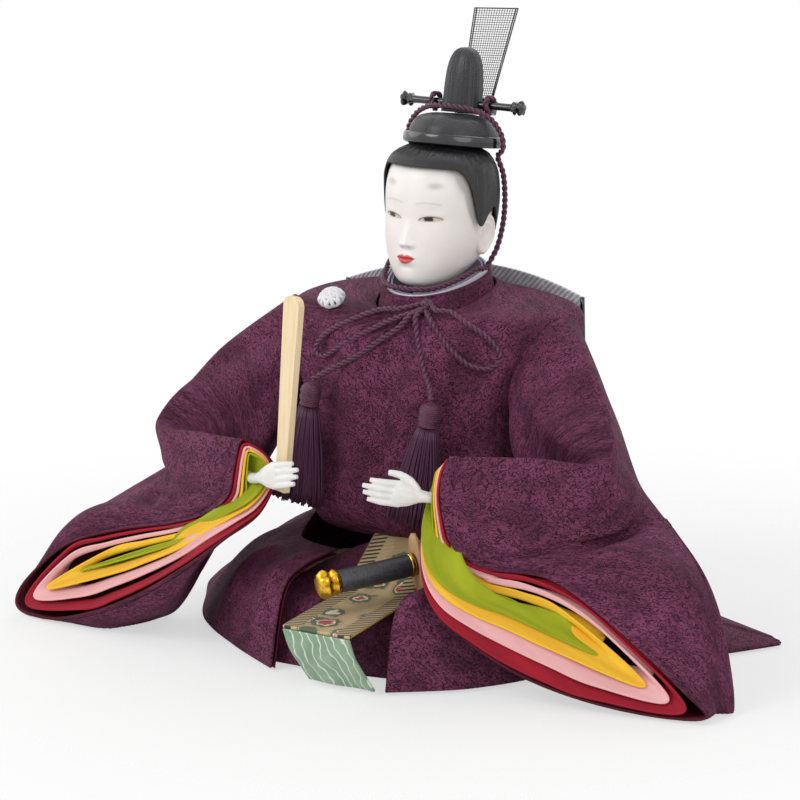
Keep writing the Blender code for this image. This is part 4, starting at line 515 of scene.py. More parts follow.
leftSleeveShares = (
    # upper arm, from the top fold round the back, under the arm and up the front
    ((0.83, -0.38, 1.12), (0.86, -0.30, 1.03), (0.87, -0.23, 0.94), (0.88, -0.18, 0.86),
     (0.88, -0.16, 0.79), (0.88, -0.17, 0.73), (0.88, -0.20, 0.69), (0.86, -0.22, 0.66),
     (0.82, -0.23, 0.64), (0.77, -0.25, 0.64), (0.70, -0.29, 0.64), (0.62, -0.35, 0.67),
     (0.560, -0.42, 0.74), (0.545, -0.455, 0.83), (0.570, -0.465, 0.93), (0.66, -0.445, 1.05)),
    # elbow, where the cloth reaches the floor
    ((0.975, -0.575, 0.885), (1.00, -0.58, 0.80), (1.02, -0.56, 0.72), (1.05, -0.52, 0.65),
     (1.10, -0.47, 0.62), (1.22, -0.47, 0.575), (1.38, -0.56, 0.48), (1.46, -0.62, 0.25),
     (1.48, -0.66, 0.030), (1.30, -0.56, 0.012), (1.10, -0.48, 0.014), (0.96, -0.46, 0.08),
     (0.86, -0.48, 0.22), (0.78, -0.50, 0.42), (0.755, -0.52, 0.62), (0.805, -0.54, 0.80)),
    # middle of the forearm
    ((0.72, -0.735, 0.90), (0.715, -0.785, 0.79), (0.725, -0.805, 0.67), (0.76, -0.80, 0.57),
     (0.90, -0.76, 0.56), (1.10, -0.74, 0.55), (1.33, -0.75, 0.42), (1.45, -0.77, 0.21),
     (1.50, -0.78, 0.026), (1.32, -0.78, 0.012), (1.08, -0.79, 0.014), (0.88, -0.83, 0.07),
     (0.72, -0.87, 0.19), (0.62, -0.86, 0.37), (0.56, -0.74, 0.56), (0.62, -0.665, 0.80)),
    # mouth, from the wrist down the front lip to the floor tip and back along the lower lip
    ((0.444, -0.860, 0.905), (0.435, -0.920, 0.81), (0.455, -0.940, 0.68), (0.500, -0.930, 0.56),
     (0.620, -0.885, 0.49), (0.860, -0.855, 0.47), (1.130, -0.865, 0.317), (1.390, -0.885, 0.130),
     (1.500, -0.885, 0.032), (1.340, -0.905, 0.012), (1.060, -0.935, 0.040), (0.800, -0.965, 0.110),
     (0.590, -1.005, 0.230), (0.430, -0.995, 0.360), (0.345, -0.875, 0.550), (0.358, -0.755, 0.765)),
)

rightSleeveShares = (
    ((-0.83, -0.38, 1.10), (-0.86, -0.30, 1.02), (-0.87, -0.23, 0.93), (-0.88, -0.18, 0.85),
     (-0.88, -0.16, 0.78), (-0.88, -0.17, 0.72), (-0.88, -0.20, 0.68), (-0.86, -0.22, 0.65),
     (-0.82, -0.23, 0.63), (-0.77, -0.25, 0.63), (-0.70, -0.29, 0.63), (-0.62, -0.35, 0.66),
     (-0.560, -0.42, 0.73), (-0.545, -0.455, 0.82), (-0.570, -0.465, 0.92), (-0.66, -0.445, 1.04)),
    ((-0.990, -0.575, 0.845), (-0.97, -0.58, 0.74), (-0.96, -0.57, 0.65), (-0.98, -0.54, 0.58),
     (-1.09, -0.50, 0.54), (-1.23, -0.48, 0.49), (-1.38, -0.52, 0.38), (-1.48, -0.58, 0.20),
     (-1.50, -0.62, 0.030), (-1.30, -0.56, 0.012), (-1.10, -0.48, 0.014), (-0.96, -0.46, 0.08),
     (-0.86, -0.48, 0.22), (-0.77, -0.50, 0.41), (-0.745, -0.53, 0.60), (-0.79, -0.55, 0.78)),
    ((-0.72, -0.735, 0.86), (-0.735, -0.785, 0.76), (-0.745, -0.800, 0.66), (-0.80, -0.79, 0.58),
     (-0.96, -0.74, 0.53), (-1.18, -0.70, 0.47), (-1.40, -0.70, 0.33), (-1.53, -0.71, 0.15),
     (-1.545, -0.72, 0.028), (-1.34, -0.75, 0.012), (-1.10, -0.78, 0.020), (-0.90, -0.83, 0.10),
     (-0.74, -0.87, 0.22), (-0.63, -0.87, 0.38), (-0.56, -0.75, 0.56), (-0.62, -0.665, 0.78)),
    ((-0.444, -0.850, 0.880), (-0.470, -0.885, 0.77), (-0.490, -0.900, 0.66), (-0.600, -0.880, 0.57),
     (-0.790, -0.840, 0.50), (-1.060, -0.790, 0.43), (-1.330, -0.765, 0.330), (-1.540, -0.755, 0.150),
     (-1.575, -0.765, 0.036), (-1.420, -0.800, 0.012), (-1.180, -0.860, 0.080), (-0.920, -0.915, 0.200),
     (-0.680, -0.950, 0.350), (-0.480, -0.955, 0.490), (-0.360, -0.860, 0.600), (-0.352, -0.760, 0.755)),
)

leftSkirtShares = (
    # columns from the inner front edge round to the train tip; waist, knee, brow and hem
    ((0.305, -0.50, 0.335), (0.315, -0.78, 0.350), (0.290, -1.00, 0.320), (0.275, -1.065, 0.012)),
    ((0.40, -0.46, 0.350), (0.44, -0.71, 0.350), (0.46, -0.88, 0.290), (0.53, -0.895, 0.012)),
    ((0.46, -0.34, 0.375), (0.56, -0.50, 0.350), (0.62, -0.63, 0.250), (0.70, -0.680, 0.012)),
    ((0.47, -0.12, 0.446), (0.66, -0.20, 0.330), (0.78, -0.28, 0.200), (0.92, -0.340, 0.012)),
    ((0.46, 0.08, 0.446), (0.70, 0.06, 0.310), (0.94, -0.02, 0.150), (1.22, -0.080, 0.012)),
    ((0.42, 0.26, 0.370), (0.62, 0.24, 0.270), (0.96, 0.20, 0.090), (1.42, 0.175, 0.014)),
)

rightSkirtShares = (
    ((-0.22, -0.50, 0.370), (-0.23, -0.76, 0.370), (-0.24, -0.92, 0.300), (-0.26, -0.980, 0.012)),
    ((-0.36, -0.46, 0.375), (-0.41, -0.66, 0.360), (-0.46, -0.78, 0.270), (-0.54, -0.770, 0.012)),
    ((-0.46, -0.34, 0.375), (-0.56, -0.48, 0.340), (-0.66, -0.54, 0.230), (-0.82, -0.510, 0.012)),
    ((-0.47, -0.12, 0.446), (-0.66, -0.18, 0.320), (-0.80, -0.22, 0.190), (-0.98, -0.220, 0.012)),
    ((-0.46, 0.08, 0.446), (-0.68, 0.08, 0.300), (-0.88, 0.06, 0.150), (-1.10, 0.060, 0.012)),
    ((-0.42, 0.26, 0.370), (-0.58, 0.28, 0.260), (-0.80, 0.32, 0.110), (-1.06, 0.360, 0.014)),
)

backSkirtShares = (
    ((0.40, 0.280, 0.370), (0.60, 0.270, 0.265), (0.94, 0.250, 0.090), (1.36, 0.235, 0.014)),
    ((0.22, 0.263, 0.446), (0.32, 0.44, 0.250), (0.46, 0.56, 0.110), (0.62, 0.66, 0.012)),
    ((0.00, 0.285, 0.446), (0.00, 0.48, 0.250), (0.00, 0.62, 0.110), (0.00, 0.74, 0.012)),
    ((-0.22, 0.263, 0.446), (-0.31, 0.44, 0.250), (-0.42, 0.56, 0.110), (-0.56, 0.66, 0.012)),
    ((-0.40, 0.285, 0.370), (-0.56, 0.310, 0.255), (-0.78, 0.360, 0.110), (-1.02, 0.410, 0.014)),
)

underSkirtShares = (
    ((-0.30, -0.44, 0.305), (-0.32, -0.66, 0.280), (-0.30, -0.82, 0.230), (-0.30, -0.900, 0.012)),
    ((0.00, -0.45, 0.430), (0.00, -0.68, 0.280), (0.00, -0.86, 0.220), (0.00, -0.920, 0.012)),
    ((0.30, -0.44, 0.320), (0.33, -0.66, 0.280), (0.30, -0.82, 0.230), (0.30, -0.900, 0.012)),
)

robe = {
    "sleeveDrop": 0.100,
    "skirtLength": 0.100,
    "cloth": 0.9 * mm,
    "lining": 0.4 * mm,
    "gap": 0.3 * mm,
    "shoulderHalf": 0.0625,
    "shoulderHeight": 0.135,
    "chestDepth": 0.052,
    "backDepth": 0.026,
    "armholeDepth": 0.021,
    "armholeHeight": 0.027,
    "armholeCentre": (-0.014, 0.105),
    "armholeStand": 1.6,
    "power": 2.35,
    "floorLift": 0.0012,
    "foldShare": 1.7,
    "tuck": 5.0 * mm,
    "tuckRows": 5,
    "hemDip": 0.7 * mm,
    "hemPlace": 0.945,
    "hemWide": 0.008,
    "across": 208,
    "along": 160,
}


def ringLoop(half, front, back, count, power=2.0):
    # Rounded loop about Z from the front by way of +X: x = half |sin|^(2/p), y = depth |cos|^(2/p)
    turn = np.linspace(0, 2 * math.pi, count, endpoint=False)
    sine, cosine = np.sin(turn), np.cos(turn)
    x = half * np.sign(sine) * np.abs(sine) ** (2 / power)
    y = -np.where(cosine > 0, front, back) * np.sign(cosine) * np.abs(cosine) ** (2 / power)
    return np.stack([x, y, np.zeros(count)], axis=1)


def robeSide(depth, height):
    # Half width of the body at a place front to back and a height
    rows = np.array(robeRingShares[:2:-1])
    half, front, back = [float(np.interp(height, robe["shoulderHeight"] * rows[:, 3], rows[:, i])) for i in range(3)]
    reach = robe["chestDepth"] * front if depth < 0 else robe["backDepth"] * back
    inner = max(0.0, 1 - abs(depth / reach) ** robe["power"])
    return robe["shoulderHalf"] * half * inner ** (1 / robe["power"])


def armholeRing(side, count=16):
    turn = np.linspace(0, 2 * math.pi, count, endpoint=False)
    y = robe["armholeCentre"][0] + robe["armholeDepth"] * np.sin(turn)
    z = robe["armholeCentre"][1] + robe["armholeHeight"] * np.cos(turn)
    x = [side * (robeSide(depth, height) + robe["cloth"] * robe["armholeStand"]) for depth, height in zip(y, z)]
    return [(x[i], y[i], z[i]) for i in range(count)]


def sleeveRings(side):
    shares = leftSleeveShares if side > 0 else rightSleeveShares
    return [armholeRing(side)] + [[tuple(robe["sleeveDrop"] * share for share in point) for point in row]
                                  for row in shares]


def foldHeight(down, round, folds):
    # Each fold is a soft ridge, or a valley where its height is negative, along a line from one
    # place to another: height times exp(-(distance / width)^2), fading toward the line's ends
    total = np.zeros_like(down)
    for startDown, startRound, endDown, endRound, width, height in folds:
        way = np.array([endDown - startDown, endRound - startRound])
        along = ((down - startDown) * way[0] + (round - startRound) * way[1]) / np.dot(way, way)
        nearest = np.clip(along, 0, 1)
        off = np.hypot(down - startDown - way[0] * nearest, round - startRound - way[1] * nearest)
        fade = np.sin(np.pi * np.clip(along, 0.02, 0.98)) ** 0.5
        total += height * np.exp(-(off / width) ** 2) * fade
    return total


def softWaves(down, round, seed, size):
    # Sum of eight long sine waves in random directions, the same each run
    chance = np.random.default_rng(seed)
    total = np.zeros_like(down)
    for _ in range(8):
        first, second = chance.uniform(-9, 9), chance.integers(1, 7)
        total += np.sin(first * down + second * 2 * np.pi * round + chance.uniform(0, 6.28)) / 8
    return total * size


# Folds as place down the sleeve, place round it from the top fold by the back, and the fold's end
leftFolds = [
    (0.02, 0.86, 0.42, 0.97, 0.030, 1.6 * mm), (0.05, 0.92, 0.40, 1.02, 0.022, -1.2 * mm),
    (0.10, 0.78, 0.44, 0.90, 0.030, 1.2 * mm), (0.30, 0.93, 0.52, 0.985, 0.016, 1.5 * mm),
    (0.34, 0.90, 0.56, 0.95, 0.016, -1.2 * mm), (0.42, 0.16, 0.72, 0.21, 0.022, 1.8 * mm),
    (0.44, 0.21, 0.74, 0.26, 0.018, -1.6 * mm), (0.50, 0.27, 0.80, 0.30, 0.026, 1.4 * mm),
    (0.55, 0.18, 0.92, 0.235, 0.014, -1.2 * mm), (0.47, 0.10, 0.62, 0.17, 0.016, 1.0 * mm),
    (0.60, 0.34, 0.88, 0.37, 0.035, 1.8 * mm), (0.40, 0.33, 0.66, 0.41, 0.030, -1.6 * mm),
    (0.42, 0.56, 0.85, 0.62, 0.035, 1.6 * mm), (0.45, 0.70, 0.85, 0.74, 0.030, 1.5 * mm),
]
rightFolds = [
    (0.02, 0.86, 0.40, 0.97, 0.030, 1.6 * mm), (0.06, 0.92, 0.38, 1.02, 0.022, -1.1 * mm),
    (0.12, 0.76, 0.44, 0.90, 0.030, 1.3 * mm), (0.34, 0.90, 0.56, 0.97, 0.018, 1.3 * mm),
    (0.42, 0.15, 0.76, 0.20, 0.020, 1.9 * mm), (0.46, 0.20, 0.78, 0.25, 0.018, -1.6 * mm),
    (0.52, 0.25, 0.86, 0.29, 0.024, 1.5 * mm), (0.48, 0.09, 0.70, 0.15, 0.016, -1.2 * mm),
    (0.60, 0.33, 0.90, 0.36, 0.035, 1.8 * mm), (0.42, 0.35, 0.66, 0.42, 0.030, -1.6 * mm),
    (0.42, 0.56, 0.85, 0.62, 0.035, 1.5 * mm), (0.45, 0.70, 0.85, 0.74, 0.030, 1.4 * mm),
]


def makeSleeve(side, name, folds):
    net = netOf(sleeveRings(side), robe["across"], robe["along"])
    net[:, :, 2] = np.maximum(net[:, :, 2], robe["floorLift"])
    down, round = netShares(net)
    away = netNormals(net, True) * (-side)
    # Folds wrap round the top fold, so places past 1 are read at the start as well
    height = (foldHeight(down, round, folds) + foldHeight(down, round + 1, folds)) * robe["foldShare"]
    height += softWaves(down, round, 5 + side, 0.9 * mm)
    calm = np.clip((1 - down) / 0.10, 0, 1) * np.clip(down / 0.08, 0, 1)
    # Sewn hem: a groove round the sleeve a little in from its mouth
    groove = robe["hemDip"] * np.exp(-((down - robe["hemPlace"]) / robe["hemWide"]) ** 2)
    net = net + away * (height * calm - groove)[:, :, None]
    net[:, :, 2] = np.maximum(net[:, :, 2], robe["floorLift"])
    piece = netPiece(name, net, flip=side > 0, wall=robe["cloth"])
    wall = piece.modifiers["wall"]
    wall.material_offset = 1
    wall.material_offset_rim = 1
    piece.data.materials.append(plum)
    dress(piece, darkLining, "doll", name)


for side, word, folds in ((1, "left", leftFolds), (-1, "right", rightFolds)):
    makeSleeve(side, f"sleeve_{word}", folds)
stage("sleeves")


layers = {
    "points": 24,
    "fineRows": 91,
    "depth": 10.5 * mm,
    "reach": 0.7 * mm,
    "gap": 0.42 * mm,
    # How far each layer's lower lip is raised and its upper lip let down, as shares of the mouth's height
    "rises": (0.03, 0.18, 0.33, 0.45, 0.505),
    "falls": (0.03, 0.09, 0.17, 0.27, 0.37),
    "lips": (0.0, 0.12, 0.34, 0.66, 0.88, 1.0, 1.0, 1.0, 1.0, 1.0, 1.0, 1.0),
    "tips": (10.95, 10.5, 9.9, 8.9, 8.2),
    # Place down the layer from its lip, and how far it has closed there toward the next layer's lip
    "wedge": ((0.0, 0.0), (0.04, 0.22), (0.10, 0.52), (0.18, 0.80), (0.28, 1.0), (0.5, 1.22), (1.0, 1.45)),
    "mitre": 0.5,
    "wall": 0.45 * mm,
    "hems": (0.60 * mm, 0.56 * mm, 0.52 * mm, 0.34 * mm),
    "across": 260,
}


def mouthRows(side):
    # The sleeve's lip, and the line to which the layers run inside it
    fine = netOf(sleeveRings(side), layers["points"], layers["fineRows"])
    step = np.linalg.norm(np.diff(fine, axis=0), axis=2)[::-1]
    run = np.concatenate([np.zeros((1, layers["points"])), np.cumsum(step, axis=0)])
    inner = np.zeros((layers["points"], 3))
    for j in range(layers["points"]):
        place = layers["fineRows"] - 1 - np.interp(layers["depth"], run[:, j], np.arange(layers["fineRows"]))
        for axis in range(3):
            inner[j, axis] = np.interp(place, np.arange(layers["fineRows"]), fine[:, j, axis])
    rows = [inner, fine[-1].copy()]
    for row in rows:
        row[:, 2] = np.maximum(row[:, 2], robe["floorLift"])
    return rows


def inwardSteps(rows, side):
    away = rows[1] - rows[0]
    steps = []
    for row in rows:
        edge = np.roll(row, -1, axis=0) - row
        face = np.cross(edge, (away + np.roll(away, -1, axis=0)) / 2) * side
        face /= np.linalg.norm(face, axis=1, keepdims=True)
        middle = face + np.roll(face, 1, axis=0)
        middle /= np.linalg.norm(middle, axis=1, keepdims=True)
        lean = np.maximum(np.sum(middle * face, axis=1, keepdims=True), layers["mitre"])
        steps.append(middle / lean)
    return steps


def nestedLoops(side, depth):
    # Each layer's loop lies inside the last. From its lip the cloth closes in a wedge toward the
    # next layer's lip, so each shows as a broad band
    inner, mouth = mouthRows(side)
    near = robe["cloth"] + layers["gap"] + (robe["lining"] + layers["gap"]) * (depth - 1)
    span = np.linalg.norm(mouth - inner, axis=1, keepdims=True)
    innerStep, mouthStep = inwardSteps([inner, mouth], side)
    half = layers["points"] // 2
    grow = np.array(layers["lips"][1:half]).reshape(-1, 1)
    loops = []
    last = int(layers["tips"][depth - 1])
    for down, closed in layers["wedge"]:
        row = mouth * (1 - down) + inner * down
        row = row + (mouth - inner) / span * layers["reach"] * depth * (1 - down)
        step = mouthStep * (1 - down) + innerStep * down
        rise, fall, tip = [layers[key][depth - 1] * (1 - closed) + layers[key][depth] * closed
                           for key in ("rises", "falls", "tips")]
        moved = row + step * near
        rungs = row[:half:-1] - row[1:half]
        fronts = moved[1:half] + rungs * fall * grow ** 1.5
        lowers = moved[:half:-1] - rungs * rise * grow
        middles = (fronts + lowers) / 2
        end = middles[last - 1] * (1 - (tip - last)) + middles[last] * (tip - last)
        loops.append(np.array([moved[0], *fronts[:last - 1], end, *lowers[:last - 1][::-1]]))
    return loops


def makeLayer(side, word, depth, tone, material):
    loops = nestedLoops(side, depth)
    fine = np.array([smoothPoints(loop, layers["across"], True) for loop in loops])
    net = smoothPoints(fine, 22)
    down, round = netShares(net)
    ripple = softWaves(down, round, 40 + depth + side, 0.22 * mm) * np.clip(down / 0.3, 0, 1)
    net = net + netNormals(net, True) * ripple[:, :, None]
    net[:, :, 2] = np.maximum(net[:, :, 2], robe["floorLift"] + 0.2 * mm)
    name = f"cuff_{tone}_{word}"
    piece = netPiece(name, net[::-1], flip=side > 0, wall=layers["wall"])
    dress(piece, material, "doll", name)
    # Rolled edge of the layer, where its cloth turns back on itself
    hem = tubesPiece(f"hem_{tone}_{word}", [evenRoute(net[0][::3], 0.7 * mm, True)[0]], layers["hems"][depth - 1], 8)
    dress(hem, material, "doll")


for side, word in ((1, "left"), (-1, "right")):
    for depth, (tone, material) in enumerate((("crimson", crimson), ("pink", pink), ("yellow", yellow),
                                              ("green", green)), start=1):
        makeLayer(side, word, depth, tone, material)
stage("layers")


# Folds of the body as place down it, place round it from the front by the left side, and the end
bodyFolds = [
    (0.22, 0.96, 0.80, 0.985, 0.020, 1.3 * mm), (0.26, 0.04, 0.82, 0.02, 0.022, 1.2 * mm),
    (0.24, 0.10, 0.74, 0.055, 0.018, -1.2 * mm), (0.22, 0.90, 0.70, 0.945, 0.018, -1.2 * mm),
    (0.24, 0.15, 0.58, 0.10, 0.020, 1.5 * mm), (0.25, 0.85, 0.58, 0.90, 0.020, 1.4 * mm),
    (0.56, 0.13, 0.86, 0.09, 0.022, 1.4 * mm), (0.58, 0.87, 0.86, 0.92, 0.022, 1.4 * mm),
    (0.66, 0.98, 0.88, 0.99, 0.016, -1.0 * mm), (0.30, 0.45, 0.80, 0.47, 0.030, 1.2 * mm),
    (0.30, 0.56, 0.80, 0.54, 0.030, 1.2 * mm),
]


def makeBody():
    rings = []
    for half, front, back, height, lift in robeRingShares:
        ring = ringLoop(robe["shoulderHalf"] * half, robe["chestDepth"] * front, robe["backDepth"] * back, 26,
                        robe["power"])
        slope = (ring[:, 1] + robe["chestDepth"] * front) / (robe["chestDepth"] * front + robe["backDepth"] * back)
        ring[:, 2] = robe["shoulderHeight"] * (height + lift * slope)
        rings.append(ring)
    net = netOf(rings, 200, 120)
    down, round = netShares(net)
    height = foldHeight(down, round, bodyFolds) * robe["foldShare"] + softWaves(down, round, 3, 0.5 * mm)
    calm = np.clip((down - 0.16) / 0.12, 0, 1) * np.clip((0.92 - down) / 0.1, 0, 1)
    net = net - netNormals(net, True) * (height * calm)[:, :, None]
    piece = netPiece("robe_body", net, flip=True, wall=robe["cloth"])
    dress(piece, plum, "doll", "robe_body")


makeBody()
stage("robe body")


def skirtRows(shares):
    return [[tuple(robe["skirtLength"] * share for share in point) for point in column] for column in shares]


def tuckUnder(net):
    # Both side edges run on a little way, lower, so that they lie under the panels beside them
    part = np.linspace(0, 1, robe["tuckRows"] + 1)[1:].reshape(-1, 1, 1)
    ends = []
    for edge, inside in ((net[0], net[4]), (net[-1], net[-5])):
        way = edge - inside
        way = way / np.linalg.norm(way, axis=1, keepdims=True) * robe["tuck"]
        ends.append(edge + way * part - np.array((0, 0, robe["cloth"] + robe["gap"])) * part)
    whole = np.concatenate([ends[0][::-1], net, ends[1]])
    whole[:, :, 2] = np.maximum(whole[:, :, 2], robe["cloth"])
    return whole


def makeSkirt(name, shares, flip, folds, lining=None):
    net = netOf(skirtRows(shares), 90, 110, False)
    down, round = netShares(net)
    side = 1 if flip else -1
    height = foldHeight(down, round, folds) * robe["foldShare"]
    calm = np.clip(round / 0.12, 0, 1) * np.clip((1 - round) / 0.06, 0, 1) * np.clip((down + 0.03) / 0.08, 0, 1)
    away = netNormals(net, False) * side
    shown = net + away * (np.maximum(height, -0.2 * mm) * calm)[:, :, None]
    if not lining:
        shown = tuckUnder(shown)
    piece = netPiece(name, shown, False, flip, robe["cloth"])
    dress(piece, plum, "doll", name)
    if lining:
        inner = net - away * (robe["cloth"] + robe["gap"] * 2)
        inner[:, :, 2] = np.maximum(inner[:, :, 2], robe["lining"] + robe["gap"])
        under = netPiece(lining, inner, False, flip, robe["lining"])
        dress(under, darkLining, "doll", lining)


makeSkirt("skirt_left", leftSkirtShares, True,
          [(0.06, 0.2, 0.08, 0.9, 0.035, 1.2 * mm), (0.30, 0.2, 0.34, 0.95, 0.05, 1.8 * mm),
           (0.55, 0.2, 0.60, 0.95, 0.05, 1.8 * mm), (0.78, 0.2, 0.80, 0.95, 0.05, 1.5 * mm)],
          "lining_left")
makeSkirt("skirt_right", rightSkirtShares, False,
          [(0.08, 0.2, 0.10, 0.9, 0.035, 1.2 * mm), (0.28, 0.2, 0.30, 0.95, 0.05, 1.8 * mm),
           (0.50, 0.2, 0.54, 0.95, 0.05, 1.8 * mm), (0.76, 0.2, 0.78, 0.95, 0.05, 1.5 * mm)],
          "lining_right")
makeSkirt("skirt_back", backSkirtShares, True,
          [(0.20, 0.1, 0.22, 0.95, 0.05, 2.0 * mm), (0.40, 0.1, 0.40, 0.95, 0.05, 2.0 * mm),
           (0.60, 0.1, 0.60, 0.95, 0.05, 2.0 * mm), (0.80, 0.1, 0.78, 0.95, 0.05, 2.0 * mm)])


def makeUnderSkirt():
    net = netOf(skirtRows(underSkirtShares), 60, 60, False)
    piece = netPiece("under_skirt", net, False, True, robe["lining"])
    dress(piece, plum, "doll", "under_skirt")


makeUnderSkirt()
stage("skirts")


collar = {
    "half": 0.0195, "front": 0.0310, "back": 0.0180, "rise": 0.0130,
    "topFront": 0.1395, "topBack": 0.1480, "step": 1.6 * mm, "underRise": 1.8 * mm,
    "riseShare": 1.5, "dipShare": 0.4, "flareShare": 1.13,
}


def makeCollar(name, step, rise, drop, material):
    # Standing band about the neck with a rolled top edge
    top = ringLoop(collar["half"] - step, collar["front"] - step, collar["back"] - step, 140)
    foot = top.copy()
    slope = (top[:, 1] + collar["front"]) / (collar["front"] + collar["back"])
    lift = collar["topFront"] + (collar["topBack"] - collar["topFront"]) * slope
    top[:, 2] = lift + rise * (slope * collar["riseShare"] - collar["dipShare"])
    top[:, 2] -= drop
    foot[:, 2] = lift - collar["rise"]
    foot[:, :2] *= collar["flareShare"]
    part = np.linspace(0, 1, 24).reshape(-1, 1, 1)
    net = foot * (1 - part) + top * part
    piece = netPiece(name, net, flip=True, wall=robe["cloth"])
    edge = piece.modifiers.new("edge", "BEVEL")
    edge.width = 0.35 * mm
    edge.segments = 3
    edge.limit_method = "ANGLE"
    dress(piece, material, "doll", name)


makeCollar("robe_collar", 0.0, 0.0, 0.6 * mm, plum)
makeCollar("under_collar_white", collar["step"], collar["underRise"], 0.0, whiteSilk)
makeCollar("under_collar_lilac", collar["step"] * 2, collar["underRise"], 0.0, lilac)
stage("collars")


# Head, hair, crown and the chin cord

headRingShares = (
    # front height, back height, front depth, back depth, half width
    (-0.300, -0.300, 0.400, 0.400, 0.440),
    (-0.030, 0.080, 0.480, 0.440, 0.470),
    (0.000, 0.130, 0.760, 0.550, 0.560),
    (0.035, 0.180, 0.940, 0.680, 0.680),
    (0.120, 0.250, 1.000, 0.800, 0.830),
    (0.220, 0.330, 1.015, 0.880, 0.920),
    (0.330, 0.410, 1.010, 0.950, 0.975),
    (0.480, 0.520, 0.990, 1.030, 1.000),
    (0.620, 0.630, 1.010, 1.080, 1.010),
    (0.760, 0.760, 1.000, 1.080, 0.985),
    (0.880, 0.870, 0.900, 1.000, 0.900),
    (0.955, 0.945, 0.640, 0.800, 0.690),
    (0.995, 0.990, 0.300, 0.420, 0.360),
)

hairEdgeShares = (10.0, 10.0, 10.0, 9.95, 9.9, 9.7, 8.8, 6.8, 7.3, 7.6, 6.7, 5.9, 5.4, 5.1, 4.9, 4.8, 4.8)

domeShares = ((1.0, 0.0), (0.99, 0.30), (0.94, 0.58), (0.81, 0.82), (0.58, 0.95), (0.30, 1.0), (0.05, 1.01))

lobeShares = ((1.04, 0.05), (1.0, 0.22), (0.97, 0.45), (0.91, 0.66), (0.79, 0.82), (0.60, 0.93), (0.36, 0.985),
               (0.12, 1.0))

head = {
    "axisY": -0.004, "centreY": -0.003, "half": 0.0205, "front": 0.0235, "back": 0.0212,
    "chin": 0.1410, "top": 0.1950, "neckFoot": 0.1246, "yaw": -6.0, "roll": 2.0,
    "columns": 300, "rows": 300, "gather": 0.62, "skin": "#f3eeea",
}
crown = {
    "half": 0.0182, "length": 0.0192, "foot": 0.1958, "rise": 0.0115, "wall": 1.0 * mm, "backShare": 0.50,
    "pitch": -7.0, "roll": -1.0, "rimHeight": 0.0044, "rimWall": 0.0010,
    "lobeHalf": 0.0078, "lobeDepth": 0.0066, "lobeHeight": 0.0267, "lobeBack": 0.0045, "lobeFoot": 1.06,
    "pinHalf": 0.0285, "pinKnob": 0.0028, "pinRise": 0.0042,
    "streamerFoot": 0.0070, "streamerTop": 0.0104, "streamerHeight": 0.0460, "streamerWall": 0.0008,
    "streamerLean": -20.0, "streamerRoll": -3.0, "socketWall": 0.0012,
}


def turnDegrees(angle, axis):
    return Matrix.Rotation(math.radians(angle), 4, axis)


def moved(points, turn):
    # Points put through a turn and a shift
    points = np.asarray(points)
    matrix = np.array(turn)
    return points @ matrix[:3, :3].T + matrix[:3, 3]


headPivot = Matrix.Translation((0, head["axisY"], head["chin"]))
headTurn = headPivot @ turnDegrees(head["yaw"], "Z") @ turnDegrees(head["roll"], "Y") @ headPivot.inverted()
crownPlace = (0, head["centreY"] + crown["half"] * crown["backShare"], crown["foot"])
crownTurn = headTurn @ Matrix.Translation(crownPlace) @ turnDegrees(crown["pitch"], "X") @ turnDegrees(crown["roll"], "Y")


def headNet(columns, rows, gather):
    # Rounded rings about the head's axis, closer together round the face
    part = np.linspace(0, 1, columns, endpoint=False)
    turn = 2 * math.pi * part - gather * np.sin(2 * math.pi * part)
    sine, cosine = np.sin(turn), np.cos(turn)
    rings = []
    for low, high, front, back, half in headRingShares:
        x = head["half"] * half * np.sign(sine) * np.abs(sine) ** (2 / 2.1)
        reach = np.where(cosine > 0, head["front"] * front, head["back"] * back)
        y = -reach * np.sign(cosine) * np.abs(cosine) ** (2 / 2.1)
        slope = (y + head["front"] * front) / (head["front"] * front + head["back"] * back)
        z = head["chin"] + (head["top"] - head["chin"]) * (low + (high - low) * slope)
        rings.append(np.stack([x, y + head["centreY"], z], axis=1))
    rings[0][:, 2] = head["neckFoot"]
    return smoothPoints(np.array(rings), rows)


def mound(x, z, places):
    # Sum of soft mounds: height times exp(-(x/width)^2 - (z/height)^2), in millimetres
    total = np.zeros_like(x)
    for centreX, centreZ, wide, high, height in places:
        total += height * np.exp(-((x - centreX) / wide) ** 2 - ((z - centreZ) / high) ** 2)
    return total


